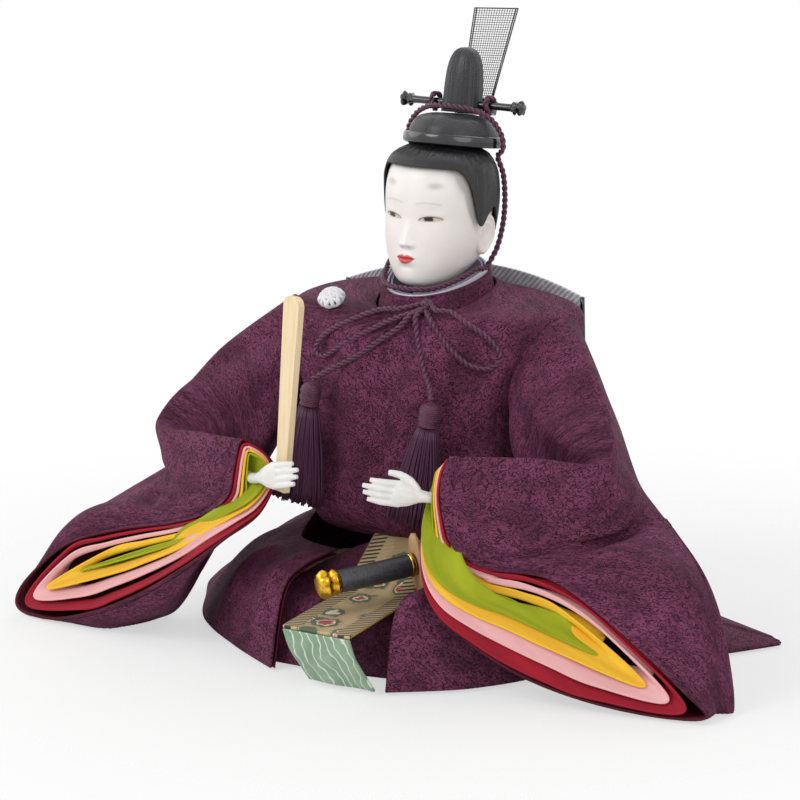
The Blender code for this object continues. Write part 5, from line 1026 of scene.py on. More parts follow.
def faceRelief(x, z):
    # How far the face stands forward of the plain head, in millimetres
    down = np.clip((169.0 - z) / 9.7, 0, 1)
    wide = np.where(z > 159.3, 1.5 + 1.0 * down, 2.5)
    ridge = np.where(z > 159.3, 3.0 * down ** 1.15, 3.0 * np.exp(-((159.3 - z) / 1.5) ** 2))
    relief = ridge * np.exp(-((x + 0.3) / wide) ** 2)
    relief += mound(x, z, (
        (-2.6, 158.7, 1.1, 1.2, 0.7), (2.2, 158.7, 1.1, 1.2, 0.7),
        (-8.2, 171.0, 4.6, 3.0, -0.7), (8.2, 171.0, 4.6, 3.0, -0.7),
        (-8.6, 170.6, 4.2, 1.6, 0.75), (8.6, 170.6, 4.2, 1.6, 0.75),
        (-9.0, 177.0, 6.0, 3.0, 0.35), (9.0, 177.0, 6.0, 3.0, 0.35),
        (-10.5, 160.0, 5.0, 6.0, 0.5), (10.5, 160.0, 5.0, 6.0, 0.5),
        (-0.6, 153.0, 5.2, 3.6, 0.7), (-2.2, 154.1, 1.8, 0.8, 0.50), (0.8, 154.1, 1.8, 0.8, 0.50),
        (-0.7, 151.9, 2.4, 0.9, 0.60), (-0.5, 156.4, 0.7, 1.2, -0.22), (-0.4, 149.6, 3.0, 1.1, -0.45),
        (0.0, 145.3, 4.6, 3.0, 0.8),
    ))
    crease = np.exp(-((z - 153.1) / 0.30) ** 2) * np.exp(-((x + 0.7) / 4.0) ** 4)
    return relief - 0.45 * crease


def faceInk(x, z):
    # The painted features: each is a colour and how strongly it covers, from 0 to 1
    ink = []
    for side in (-1, 1):
        centre = side * 8.5
        part = (x - centre) / 4.4
        inside = np.clip(1 - part ** 2, 0, 1)
        tilt = 0.30 * part * side
        upper = 169.35 + 1.15 * inside ** 0.8 + tilt
        lower = 168.95 - 0.30 * inside + tilt
        near = np.exp(-(np.clip(np.abs(part) - 0.94, 0, None) / 0.10) ** 2)
        tint = np.exp(-((x - centre) / 4.6) ** 2 - ((z - 170.6) / 1.3) ** 2)
        ink.append((0.30 * tint, "#c6a987"))
        opened = 1 / (1 + np.exp((z - upper) / 0.07)) / (1 + np.exp((lower - z) / 0.07)) * (inside > 0)
        ink.append((opened, "#d9cdbd"))
        iris = 1 / (1 + np.exp((np.hypot(x - centre + 0.5, z - 169.6) - 1.75) / 0.08))
        ink.append((opened * iris, "#1a100c"))
        ink.append((0.92 * np.exp(-((z - upper) / 0.26) ** 2) * near, "#2a1c16"))
        ink.append((0.40 * np.exp(-((z - lower) / 0.16) ** 2) * near, "#8a7062"))
        arch = 175.2 + 0.8 * (1 - ((np.abs(x) - 7.7) / 5.0) ** 2)
        reach = np.exp(-(np.clip(np.abs(np.abs(x) - 7.7) - 4.2, 0, None) / 0.8) ** 2) * (x * side > 0)
        ink.append((0.22 * np.exp(-((z - arch) / 0.35) ** 2) * reach, "#8b7566"))
        smudge = np.exp(-(((x - side * 9.9) / 2.7) ** 2 + ((z - 182.7) / 1.35) ** 2) ** 1.4)
        ink.append((0.42 * smudge, "#857c78"))
        ink.append((0.10 * np.exp(-((x - side * 10.5) / 5) ** 2 - ((z - 160.5) / 5) ** 2), "#e89a90"))
        ink.append((0.45 * np.exp(-((x + 0.2 - side * 1.3) / 0.5) ** 2 - ((z - 157.7) / 0.32) ** 2), "#8a5a50"))
    line = np.interp(np.abs(x), (0, 10, 11.6, 15.1, 18.2, 19.5, 20.5), (191, 190.4, 190.2, 187, 180.2, 170, 158))
    ink.append((0.50 * np.exp(-(np.clip(line - z, 0, None) / 1.9) ** 1.3), "#57524f"))
    part = (x + 0.8) / 4.3
    top = 153.15 + 1.75 * np.clip(1 - part ** 2, 0, 1) ** 0.75 - 0.45 * np.exp(-(part / 0.16) ** 2)
    foot = 153.05 - 1.95 * np.clip(1 - (part / 0.86) ** 2, 0, 1) ** 0.7
    lips = 1 / (1 + np.exp((z - top) / 0.10)) / (1 + np.exp((foot - z) / 0.10)) * (np.abs(part) < 1)
    ink.append((0.95 * lips, "#cf2a22"))
    ink.append((0.75 * np.exp(-((z - 153.1) / 0.16) ** 2) * (np.abs(part) < 0.9), "#6d1211"))
    return ink


def paintPoints(piece, colours):
    layer = piece.data.color_attributes.new("paint", "FLOAT_COLOR", "POINT")
    layer.data.foreach_set("color", np.asarray(colours, dtype=np.float32).reshape(-1))


skin = skinMaterial()
hairSilk = hairMaterial()


def makeHead():
    net = headNet(head["columns"], head["rows"], head["gather"])
    x, y, z = net[:, :, 0] / mm, net[:, :, 1], net[:, :, 2] / mm
    faceward = np.clip((head["centreY"] - 0.002 - y) / 0.006, 0, 1)
    faceward = faceward * faceward * (3 - 2 * faceward)
    net[:, :, 1] -= faceRelief(x, z) * faceward * mm
    shades = np.ones(net.shape[:2] + (4,))
    shades[:, :, :3] = linear(head["skin"])
    for cover, tone in faceInk(x, z):
        cover = (cover * faceward)[:, :, None]
        shades[:, :, :3] = shades[:, :, :3] * (1 - cover) + np.array(linear(tone)) * cover
    piece = netPiece("head", moved(net, headTurn), capped=True)
    piece.data.materials.append(skin)
    paintPoints(piece, np.concatenate([shades.reshape(-1, 4), shades[0, :1], shades[-1, :1]]))
    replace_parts(piece, "head")
    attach(piece, "head")


def makeEar(side, word):
    # Shell: a squashed ball whose outer face has a raised rim, an inner ridge and a hollow
    rows, columns = 60, 80
    reach = np.linspace(0.001, math.pi - 0.001, rows)[:, None]
    turn = np.linspace(0, 2 * math.pi, columns, endpoint=False)[None, :]
    up, back = np.cos(turn), np.sin(turn)
    wide = np.sin(reach)
    out = np.cos(reach) * np.ones_like(turn)
    share = np.where(reach < math.pi / 2, wide, 1.0)
    rim = 0.9 * np.exp(-((share - 0.86) / 0.11) ** 2) - 1.1 * np.exp(-(share / 0.45) ** 2)
    inner = 0.35 * np.exp(-((share - 0.55) / 0.09) ** 2) * (up > -0.3)
    outward = np.where(reach < math.pi / 2, 0.45 + rim + inner, -0.45) * mm + out * 0.9 * mm
    lobe = 1 - 0.22 * np.clip(-up, 0, 1)
    net = np.stack([outward * side * np.ones_like(turn), back * wide * 0.0046 * lobe, up * wide * 0.0083], axis=2)
    place = Matrix.Translation((side * 0.0204, -0.0022, 0.1622)) @ turnDegrees(side * -24, "Z") @ turnDegrees(-10, "X")
    piece = netPiece(f"ear_{word}", moved(net, headTurn @ place), flip=side < 0, capped=True)
    piece.data.materials.append(skin)
    paintPoints(piece, np.tile((*linear("#f1e8e3"), 1.0), (len(piece.data.vertices), 1)))
    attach(piece, "head")


hairCap = {"lift": 0.0025, "wall": 0.0009, "hem": 0.90, "top": 11.9, "centre": 0.45, "strands": 620}


def hairNet(lift):
    fineStep = 5
    points = 32
    fine = headNet(points, (len(headRingShares) - 1) * fineStep + 1, 0.0)
    edge = np.array(hairEdgeShares + hairEdgeShares[-2:0:-1])
    rows = []
    for part in np.linspace(0, 1, 6):
        place = (edge + (hairCap["top"] - edge) * part) * fineStep
        cell = np.clip(np.floor(place).astype(int), 0, len(fine) - 2)
        share = (place - cell).reshape(-1, 1)
        column = np.arange(points)
        rows.append(fine[cell, column] * (1 - share) + fine[cell + 1, column] * share)
    net = np.array(rows)
    centre = np.array((0, head["centreY"], head["chin"] + (head["top"] - head["chin"]) * hairCap["centre"]))
    away = net - centre
    rise = np.minimum(1, hairCap["hem"] + np.linspace(0, 1, 6) * 4).reshape(-1, 1, 1)
    return net + away / np.linalg.norm(away, axis=2, keepdims=True) * lift * rise


def makeHair():
    net = netOf(hairNet(hairCap["lift"]), 260, 80)
    piece = netPiece("hair", moved(net, headTurn), wall=hairCap["wall"])
    dress(piece, hairSilk, "head", "hair")
    # Loose strands over the cap, whose ends break the hard edge of the hairline
    chance = np.random.default_rng(11)
    routes, sizes = [], []
    centre = np.array((0, head["centreY"], 0.1653))
    for _ in range(hairCap["strands"]):
        column = chance.uniform(0, net.shape[1])
        low = int(column)
        part = column - low
        line = net[:, low] * (1 - part) + net[:, (low + 1) % net.shape[1]] * part
        first = line[0] + (line[0] - line[4]) / np.linalg.norm(line[0] - line[4]) * chance.uniform(0.0, 0.9) * mm
        stop = chance.integers(40, 72)
        route = np.concatenate([[first], line[2:stop:6]])
        away = route - centre
        away /= np.linalg.norm(away, axis=1, keepdims=True)
        lift = np.linspace(-0.25, 0.10, len(route)).clip(-0.25, 0.06)[:, None] * mm
        sway = np.cumsum(chance.normal(0, 0.05, len(route)))[:, None] * mm
        routes.append(route + away * lift + np.cross(away, (0, 0, 1)) * sway)
        sizes.append(np.interp(np.linspace(0, 1, len(route)), (0, 0.2, 1), (0.25, 1, 0.6)))
    strands = tubesPiece("hair_strands", [moved(route, headTurn) for route in routes], 0.13 * mm, 4, sizes)
    dress(strands, lacquerMaterial("black_hair_strand", "#060607", 0.35), "head")


makeHead()
makeEar(1, "left")
makeEar(-1, "right")
makeHair()
stage("head and hair")


domeGauze = gauzeMaterial("black_lacquered_gauze", 1.15 * mm, 0.42)
lobeGauze = gauzeMaterial("black_ribbed_gauze", 0.95 * mm, 0.38)
lacquer = lacquerMaterial("black_lacquer", "#0a0909", 0.20)


def crownLoop(share, height, grow, count):
    ring = ringLoop(crown["half"] * share + grow, crown["length"] * share + grow, crown["length"] * share + grow, count)
    ring[:, 2] = height
    return ring


def makeDome():
    shares = smoothPoints(domeShares, 46)
    net = np.array([crownLoop(share, crown["rise"] * height, 0, 128) for share, height in shares])
    down, round = netShares(net)
    # The gauze is stretched over a frame, so its sides ripple a little
    net[:, :, 2] += 0.25 * mm * np.sin(round * 2 * math.pi * 5 + 1) * np.sin(np.pi * down)
    piece = netPiece("crown_dome", moved(net, crownTurn), wall=crown["wall"])
    dress(piece, domeGauze, "head", "crown_dome")


def makeRim():
    shares = smoothPoints(((0.0, 0.0), (0.12, 0.55), (0.5, 0.75), (0.88, 0.55), (1.0, 0.0)), 18)
    grow = crown["rimWall"] + 0.3 * mm
    net = np.array([crownLoop(1.0, crown["rimHeight"] * (height - 0.2), grow + crown["rimWall"] * bulge, 160)
                    for height, bulge in shares])
    piece = netPiece("crown_rim", moved(net, crownTurn), wall=crown["rimWall"])
    dress(piece, lacquer, "head", "crown_rim")


def makeLobe():
    shares = smoothPoints(lobeShares, 70)
    rings = []
    for share, height in [(crown["lobeFoot"], 0.6 * mm / crown["lobeHeight"]), *shares]:
        ring = ringLoop(crown["lobeHalf"] * share, crown["lobeDepth"] * share, crown["lobeDepth"] * share, 96, 2.5)
        ring[:, 1] += crown["lobeBack"]
        ring[:, 2] = crown["rise"] + crown["lobeHeight"] * height
        rings.append(ring)
    net = np.array(rings)
    down, round = netShares(net)
    ribs = 0.12 * mm * np.sin(round * 2 * math.pi * 30)
    net[:, :, :2] += (net[:, :, :2] - (0, crown["lobeBack"])) * (ribs / crown["lobeHalf"])[:, :, None]
    cap = net[-1].mean(axis=0) + (0, 0, 0.1 * mm)
    net = np.concatenate([net, np.tile(cap, (1, 96, 1)) + (net[-1:] - cap) * 0.01])
    piece = netPiece("crown_lobe", moved(net, crownTurn), capped=True)
    dress(piece, lobeGauze, "head", "crown_lobe")


def makePin():
    # Turned rod whose ends are twisted buds: radius times 1 + 0.13 sin(5 angle + a turn along it)
    buds = ((0.05, 1.0), (0.62, 0.995), (0.95, 0.975), (1.0, 0.95), (0.86, 0.92), (0.60, 0.895), (0.78, 0.875),
            (0.92, 0.855), (0.86, 0.835), (0.60, 0.81), (0.56, 0.77), (0.54, 0.70))
    half = smoothPoints(buds, 60)
    profile = np.concatenate([half, [(0.54, reach) for reach in np.linspace(0.66, 0.04, 12)]])
    profile = np.concatenate([profile, profile[::-1] * (1, -1)])
    turn = np.linspace(0, 2 * math.pi, 36, endpoint=False)[None, :]
    reach = profile[:, 1:2] * crown["pinHalf"]
    twist = 1 + 0.13 * np.sin(5 * turn + np.abs(reach) * 900) * (np.abs(profile[:, 1:2]) > 0.8)
    radius = profile[:, :1] * crown["pinKnob"] * twist
    net = np.stack([reach * np.ones_like(turn), radius * np.cos(turn), radius * np.sin(turn)], axis=2)
    place = Matrix.Translation((0, crown["lobeBack"], crown["rise"] + crown["pinRise"]))
    piece = netPiece("crown_pin", moved(net, crownTurn @ place), flip=True, capped=True)
    dress(piece, lacquer, "head", "crown_pin")


def streamerTurn():
    depth = crown["streamerWall"] + 4 * 0.3 * mm + crown["socketWall"] * 2
    back = crown["lobeBack"] + crown["lobeDepth"] * crown["lobeFoot"] + depth / 2 + 0.3 * mm
    lean = turnDegrees(crown["streamerLean"], "X") @ turnDegrees(crown["streamerRoll"], "Y")
    return crownTurn @ Matrix.Translation((0, back, crown["rise"] + 0.3 * mm)) @ lean


def makeStreamer():
    # Open square gauze: fine threads both ways, tied to stouter border threads
    def point(across, up):
        half = crown["streamerFoot"] + (crown["streamerTop"] - crown["streamerFoot"]) * up
        return (half * across, 0, 0.3 * mm + crown["streamerHeight"] * up)

    fine, border = [], []
    for across in np.linspace(-0.97, 0.97, 18):
        fine.append([point(across, 0.005), point(across, 0.995)])
    for up in np.linspace(0.01, 0.99, 45):
        fine.append([point(-0.97, up), point(0.97, up)])
    for across in (-0.97, 0.97, -0.88, 0.88):
        border.append([point(across, 0.005), point(across, 0.995)])
    for up in (0.008, 0.992):
        border.append([point(-0.97, up), point(0.97, up)])
    turn = streamerTurn()
    piece = tubesPiece("crown_streamer", [moved(route, turn) for route in fine], 0.13 * mm, 5)
    piece.data.materials.append(lacquer)
    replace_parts(piece, "crown_streamer")
    edges = tubesPiece("streamer_border", [moved(route, turn) for route in border], 0.30 * mm, 6)
    edges.data.materials.append(lacquer)
    for item in (piece, edges):
        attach(item, "streamer")


makeDome()
makeRim()
makeLobe()
makePin()
makeStreamer()
bpy.data.objects["streamer_socket"].data.materials[0] = lacquer
stage("crown")


plumCord = cordMaterial("plum_silk_cord", "#38162a", "#6c3350")
violetFloss = cordMaterial("violet_silk_floss", "#2a0820", "#561c48")

chinCord = {
    "radius": 1.2 * mm,
    "route": ((0.0000, -0.0298, 0.1416), (0.0070, -0.0287, 0.1418), (0.0125, -0.0240, 0.1426),
              (0.0167, -0.0157, 0.1450), (0.0196, -0.0066, 0.1482), (0.0196, 0.0008, 0.1478),
              (0.0211, 0.0034, 0.1516), (0.0223, 0.0059, 0.1569), (0.0231, 0.0081, 0.1662),
              (0.0226, 0.0095, 0.1759), (0.0213, 0.0097, 0.1850), (0.0192, 0.0086, 0.1917),
              (0.0222, 0.0070, 0.1951), (0.0221, 0.0070, 0.1991), (0.0202, 0.0065, 0.2032),
              (0.0170, 0.0059, 0.2068), (0.0127, 0.0045, 0.2091), (0.0086, 0.0035, 0.2102),
              (0.0046, 0.0026, 0.2106), (-0.0003, 0.0022, 0.2107)),
    "ringRadius": 0.0031,
    "ringReach": 0.0126,
    "knot": (0.0122, -0.0382, 0.1372),
    "loopLeft": ((0.0050, -0.0453, 0.1338), (-0.0021, -0.0468, 0.1307), (-0.0100, -0.0472, 0.1265),
              (-0.0202, -0.0478, 0.1207), (-0.0289, -0.0463, 0.1151), (-0.0341, -0.0440, 0.1170),
              (-0.0292, -0.0447, 0.1237), (-0.0180, -0.0456, 0.1302), (-0.0060, -0.0434, 0.1350),
              (0.0031, -0.0434, 0.1361)),
    "loopRight": ((0.0165, -0.0449, 0.1334), (0.0207, -0.0458, 0.1282), (0.0267, -0.0458, 0.1217),
              (0.0333, -0.0444, 0.1165), (0.0400, -0.0408, 0.1150), (0.0439, -0.0384, 0.1193),
              (0.0393, -0.0394, 0.1264), (0.0309, -0.0415, 0.1321), (0.0232, -0.0400, 0.1358),
              (0.0180, -0.0416, 0.1363)),
    "tailLeft": ((0.0111, -0.0458, 0.1342), (0.0119, -0.0472, 0.1294), (0.0141, -0.0489, 0.1216),
              (0.0172, -0.0507, 0.1133), (0.0211, -0.0538, 0.1079), (0.0231, -0.0572, 0.1041)),
    "tailRight": ((0.0086, -0.0459, 0.1343), (0.0041, -0.0480, 0.1291), (-0.0031, -0.0491, 0.1241),
              (-0.0123, -0.0506, 0.1173), (-0.0228, -0.0526, 0.1114), (-0.0303, -0.0543, 0.1070)),
}


def makeHeadCord():
    route = list(chinCord["route"]) + [(-x, y, z) for x, y, z in chinCord["route"][-2:0:-1]]
    piece = twistedCord("head_cord", moved(route, headTurn), chinCord["radius"], True, 2, 2.0)[0]
    dress(piece, plumCord, "head", "head_cord")
    for side, word in ((1, "left"), (-1, "right")):
        turn = np.linspace(0, 2 * math.pi, 24, endpoint=False)
        circle = np.stack([0.5 * mm * np.sin(turn * 2), chinCord["ringRadius"] * np.cos(turn),
                           chinCord["ringRadius"] * np.sin(turn)], axis=1)
        spot = (side * chinCord["ringReach"], crown["lobeBack"], crown["rise"] + crown["pinRise"])
        place = crownTurn @ Matrix.Translation(spot)
        ring = twistedCord(f"cord_ring_{word}", moved(circle, place), chinCord["radius"], True, 2, 2.0)[0]
        dress(ring, plumCord, "head", f"cord_ring_{word}")


def makeBow():
    knot = np.array(chinCord["knot"])
    tails = {}
    for word, loop in (("left", chinCord["loopLeft"]), ("right", chinCord["loopRight"])):
        loop = np.array(loop)
        apart = loop[0] - loop[-1]
        apart = apart / np.linalg.norm(apart) * chinCord["radius"] * 1.25
        points = np.concatenate([[knot + apart], loop, [knot - apart]])
        piece, route, length = twistedCord(f"bow_loop_{word}", points, chinCord["radius"], False, 2, 2.0)
        piece.data.materials.append(plumCord)
        if word == "left":
            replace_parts(piece, "chin_bow")
        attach(piece, "doll")
    for word, tail in (("left", chinCord["tailLeft"]), ("right", chinCord["tailRight"])):
        points = np.concatenate([[knot], tail])
        piece, route, length = twistedCord(f"cord_tail_{word}", points, chinCord["radius"], False, 2, 2.0)
        dress(piece, plumCord, "doll")
        tails[word] = (piece, route, length)
    # The knot: three turns of the same cord, each across the last
    turn = np.linspace(0, 2 * math.pi, 20, endpoint=False)
    for number, (tip, side) in enumerate(((20, 60), (80, -30), (-35, 15))):
        circle = np.stack([1.9 * mm * np.cos(turn), 1.9 * mm * np.sin(turn), 0 * turn], axis=1)
        place = Matrix.Translation(knot) @ turnDegrees(tip, "X") @ turnDegrees(side, "Y")
        wrap = twistedCord(f"bow_knot_{number + 1}", moved(circle, place), chinCord["radius"], True, 2, 2.0)[0]
        dress(wrap, plumCord, "doll")
    return tails


makeHeadCord()
tails = makeBow()
stage("chin cord")


tassel = {
    "headRadius": 0.0042, "headHeight": 0.0090, "length": 0.0400, "half": 0.0125, "depth": 0.0052,
    "tilt": 9.0, "pivots": {"left": (0.0231, -0.0572, 0.1029), "right": (-0.0303, -0.0543, 0.1058)}, "strands": 300,
}


def makeTassel(word):
    top = tassel["headHeight"] / 2
    place = (Matrix.Translation(tassel["pivots"][word]) @ turnDegrees(tassel["tilt"], "Y")
             @ Matrix.Translation((0, 0, -top - 0.3 * mm)))
    # Bound head: a turned form with the threads of its binding as fine rings
    shares = smoothPoints(((0.05, 1.0), (0.45, 0.97), (0.85, 0.72), (1.0, 0.35), (0.92, 0.0), (1.0, -0.3),
                           (0.86, -0.72), (0.9, -0.98), (0.05, -1.0)), 90)
    turn = np.linspace(0, 2 * math.pi, 40, endpoint=False)[None, :]
    height = shares[:, 1:2] * top
    thread = 1 + 0.045 * np.sin(height * 2 * math.pi / (0.75 * mm) + turn)
    radius = shares[:, :1] * tassel["headRadius"] * thread
    net = np.stack([radius * np.cos(turn), radius * np.sin(turn), height * np.ones_like(turn)], axis=2)
    piece = netPiece(f"tassel_head_{word}", moved(net, place), flip=True, capped=True)
    dress(piece, plumCord, f"tassel_{word}", f"tassel_head_{word}")
    # Skirt of floss: twisted threads that fan out from the binding
    chance = np.random.default_rng(21 if word == "left" else 22)
    down = np.linspace(0, 1, 9)
    halfLine = np.interp(down, (0, 0.18, 0.5, 0.8, 1.0), (0.32, 0.50, 0.74, 0.93, 1.0)) * tassel["half"] * 0.94
    depthLine = np.interp(down, (0, 0.18, 0.5, 0.8, 1.0), (0.60, 0.80, 0.92, 1.0, 1.0)) * tassel["depth"] * 0.92
    routes = []
    for number in range(tassel["strands"]):
        angle = chance.uniform(0, 2 * math.pi)
        inner = chance.uniform(0.80, 1.0) if number % 4 else chance.uniform(0.3, 0.8)
        bend = chance.uniform(-0.22, 0.22) * down
        reach = tassel["length"] * chance.uniform(0.955, 1.0)
        routes.append(np.stack([halfLine * inner * np.cos(angle + bend), depthLine * inner * np.sin(angle + bend),
                                -top - 0.3 * mm - reach * down], axis=1))
    skirt = tubesPiece(f"tassel_skirt_{word}", [moved(route, place) for route in routes], 0.36 * mm, 5)
    dress(skirt, violetFloss, f"tassel_{word}", f"tassel_skirt_{word}")


makeTassel("left")
makeTassel("right")
stage("tassels")


# Hands, baton, button, sword, sash, back panel and what lies inside

whiteHand = handMaterial()
batonWood = woodMaterial("planed_cypress", "#f2dcb6", "#e8cc9e", (700.0, 700.0, 14.0))
guardWood = woodMaterial("tan_guard_wood", "#d8b487", "#b98d5c", (300.0, 300.0, 60.0))
rayskin = sharkskinMaterial()
gilt = metalMaterial("gilt_brass", "#f0c343", "#b98420", 0.22)


def makeHand(word):
    # The carved hand again, melted together and smoothed, with the hollows between its fingers
    source = bpy.data.objects[f"hand_{word}"]
    work = bmesh.new()
    work.from_mesh(source.data)
    bmesh.ops.remove_doubles(work, verts=work.verts, dist=0.01 * mm)
    mesh = bpy.data.meshes.new(f"carved_hand_{word}")
    work.to_mesh(mesh)
    work.free()
    item = bpy.data.objects.new(f"carved_hand_{word}", mesh)
    scene.collection.objects.link(item)
    melt = item.modifiers.new("melt", "REMESH")
    melt.mode = "VOXEL"
    melt.voxel_size = 0.30 * mm
    soft = item.modifiers.new("soft", "SMOOTH")
    soft.factor = 0.5
    soft.iterations = 5
    graph = bpy.context.evaluated_depsgraph_get()
    finished = bpy.data.meshes.new_from_object(item.evaluated_get(graph))
    item.modifiers.clear()
    item.data = finished
    finished.shade_smooth()
    finished.materials.clear()
    finished.materials.append(whiteHand)
    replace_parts(item, f"hand_{word}")
    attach(item, f"hand_{word}")


makeHand("left")
makeHand("right")
bpy.data.objects["baton"].data.materials[0] = batonWood
stage("hands")


def makeToggle():
    # White cord button: turns of cord laid in three directions
    place = (Matrix.Translation((-0.0299, -0.0382, 0.1372)) @ turnDegrees(30, "X"))
    turn = np.linspace(0, 2 * math.pi, 48, endpoint=False)
    whiteCord = cordMaterial("white_silk_cord", "#dcdadf", "#f6f4f8")
    routes = []
    for aim in (0, 60, 120):
        for shift in (-0.55, 0.0, 0.55):
            reach = math.sqrt(1 - shift ** 2 * 0.8)
            x = 4.75 * mm * reach * np.cos(turn)
            y = 4.75 * mm * shift * np.ones_like(turn)
            z = 2.45 * mm * reach * np.sin(turn) * (1 + 0.05 * np.cos(3 * turn + aim))
            points = np.stack([x, y, z], axis=1)
            routes.append(moved(points, place @ turnDegrees(aim, "Z")))
    loops = [evenRoute(route, 0.4 * mm, True)[0] for route in routes]
    piece = tubesPiece("collar_toggle", loops, 0.80 * mm, 8)
    dress(piece, whiteCord, "doll", "collar_toggle")


makeToggle()
stage("button")


sword = {
    "start": (-0.0019, -0.1055, 0.0390), "end": (0.0840, 0.0070, 0.0580), "bow": 0.0025, "gap": 0.3 * mm,
    "radius": 0.0045, "scabbard": 0.0048, "hiltLength": 0.0320, "scabbardLength": 0.0930, "chapeLength": 0.0070,
    "pommelLength": 0.0090, "guardHalf": 0.0049, "guardHeight": 0.0120, "guardWall": 0.0022, "flat": 0.85,
}


def swordTurn():
    start, stop = Vector(sword["start"]), Vector(sword["end"])
    direction = (stop - start).normalized()
    side = Vector((0, 0, 1)).cross(direction).normalized()
    return Matrix.Translation(start) @ Matrix((side, direction.cross(side), direction)).transposed().to_4x4()


def swordSag(reach):
    whole = (sword["hiltLength"] + sword["scabbardLength"] + sword["pommelLength"] + sword["chapeLength"]
             + sword["guardWall"])
    share = reach / whole
    return -sword["bow"] * 4 * share * (1 - share)


def swordPiece(name, start, stop, half, height, profile, material, ripple=None, count=72, power=2.0):
    # Oval rings along the sword, each grown by the profile and shifted down by the blade's bow
    shares = smoothPoints(profile, 64)
    rings = []
    for grow, part in shares:
        reach = start + (stop - start) * part
        ring = ringLoop(half * grow, height * grow, height * grow, count, power)
        if ripple:
            turn = np.linspace(0, 2 * math.pi, count, endpoint=False)
            ring *= (1 + ripple[1] * np.cos(ripple[0] * turn) * min(1, 4 * part * (1 - part) + 0.2))[:, None]
        ring[:, 1] += swordSag(reach)
        ring[:, 2] = reach
        rings.append(ring)
    first, last = rings[0].mean(axis=0), rings[-1].mean(axis=0)
    net = np.concatenate([[first + (rings[0] - first) * 0.02], rings, [last + (rings[-1] - last) * 0.02]])
    piece = netPiece(name, moved(net, swordTurn()), capped=True)
    dress(piece, material, "sword")
    return piece


def makeSword():
    plain = ((0.90, 0.0), (0.985, 0.01), (1.0, 0.03), (1.0, 0.5), (1.0, 0.97), (0.985, 0.99), (0.90, 1.0))
    gap = sword["gap"]
    pommelEnd = sword["pommelLength"]
    hiltEnd = pommelEnd + gap + sword["hiltLength"]
    guardEnd = hiltEnd + gap + sword["guardWall"]
    scabbardEnd = guardEnd + gap + sword["scabbardLength"]
    knob = ((0.30, 0.0), (0.72, 0.04), (0.95, 0.20), (1.0, 0.38), (0.86, 0.55), (0.72, 0.62), (0.84, 0.70),
            (0.93, 0.80), (0.88, 0.90), (0.80, 1.0))
    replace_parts(swordPiece("sword_pommel", 0, pommelEnd, sword["radius"], sword["radius"] * 1.2, knob, gilt, (6, 0.09)),
                "sword_pommel")
    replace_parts(swordPiece("sword_hilt", pommelEnd + gap, hiltEnd, sword["radius"] * sword["flat"], sword["radius"],
                           plain, rayskin), "sword_hilt")
    oval = ((0.86, 0.0), (0.96, 0.15), (1.0, 0.35), (1.0, 0.65), (0.96, 0.85), (0.86, 1.0))
    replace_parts(swordPiece("sword_guard", hiltEnd + gap, guardEnd, sword["guardHalf"], sword["guardHeight"], oval,
                           guardWood, None, 120, 2.4), "sword_guard")
    half, height = sword["scabbard"] * sword["flat"], sword["scabbard"]
    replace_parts(swordPiece("sword_scabbard", guardEnd + gap, scabbardEnd, half, height, plain, rayskin),
                "sword_scabbard")
    cap = ((0.90, 0.0), (1.0, 0.06), (1.0, 0.20), (0.90, 0.30), (0.98, 0.42), (1.0, 0.60), (0.94, 0.78), (0.72, 0.94),
           (0.30, 1.0))
    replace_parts(swordPiece("sword_chape", scabbardEnd + gap, scabbardEnd + gap + sword["chapeLength"],
                           sword["scabbard"], sword["scabbard"] * 1.1, cap, gilt, (6, 0.05)), "sword_chape")
    # Mounts on the hilt and the scabbard: a black ring by the cap, and a gilt band by the guard
    ring = ((1.02, 0.0), (1.07, 0.25), (1.07, 0.75), (1.02, 1.0))
    swordPiece("scabbard_ring", scabbardEnd - 6.0 * mm, scabbardEnd - 3.6 * mm, half, height, ring, lacquer)
    swordPiece("hilt_band", hiltEnd - 2.2 * mm, hiltEnd - 0.6 * mm, sword["radius"] * sword["flat"], sword["radius"],
               ring, gilt)
    # Frayed fringe of the cord pad along the guard's upper edge
    chance = np.random.default_rng(31)
    routes = []
    for angle in np.linspace(-1.0, 1.0, 46):
        foot = np.array((sword["guardHalf"] * 0.9 * math.sin(angle), sword["guardHeight"] * 0.94 * math.cos(angle), 0))
        foot[1] += swordSag(hiltEnd)
        foot[2] = hiltEnd + gap + chance.uniform(0.2, 0.9) * sword["guardWall"]
        out = np.array((math.sin(angle) * 0.7, math.cos(angle), chance.uniform(-0.25, 0.25)))
        routes.append([foot, foot + out * 0.5 * mm, foot + out * chance.uniform(0.8, 1.2) * mm])
    fringe = tubesPiece("guard_fringe", [moved(route, swordTurn()) for route in routes], 0.14 * mm, 4)
    dress(fringe, cordMaterial("tan_cotton_fringe", "#c79f6c", "#e8cda0"), "sword")


makeSword()
stage("sword")


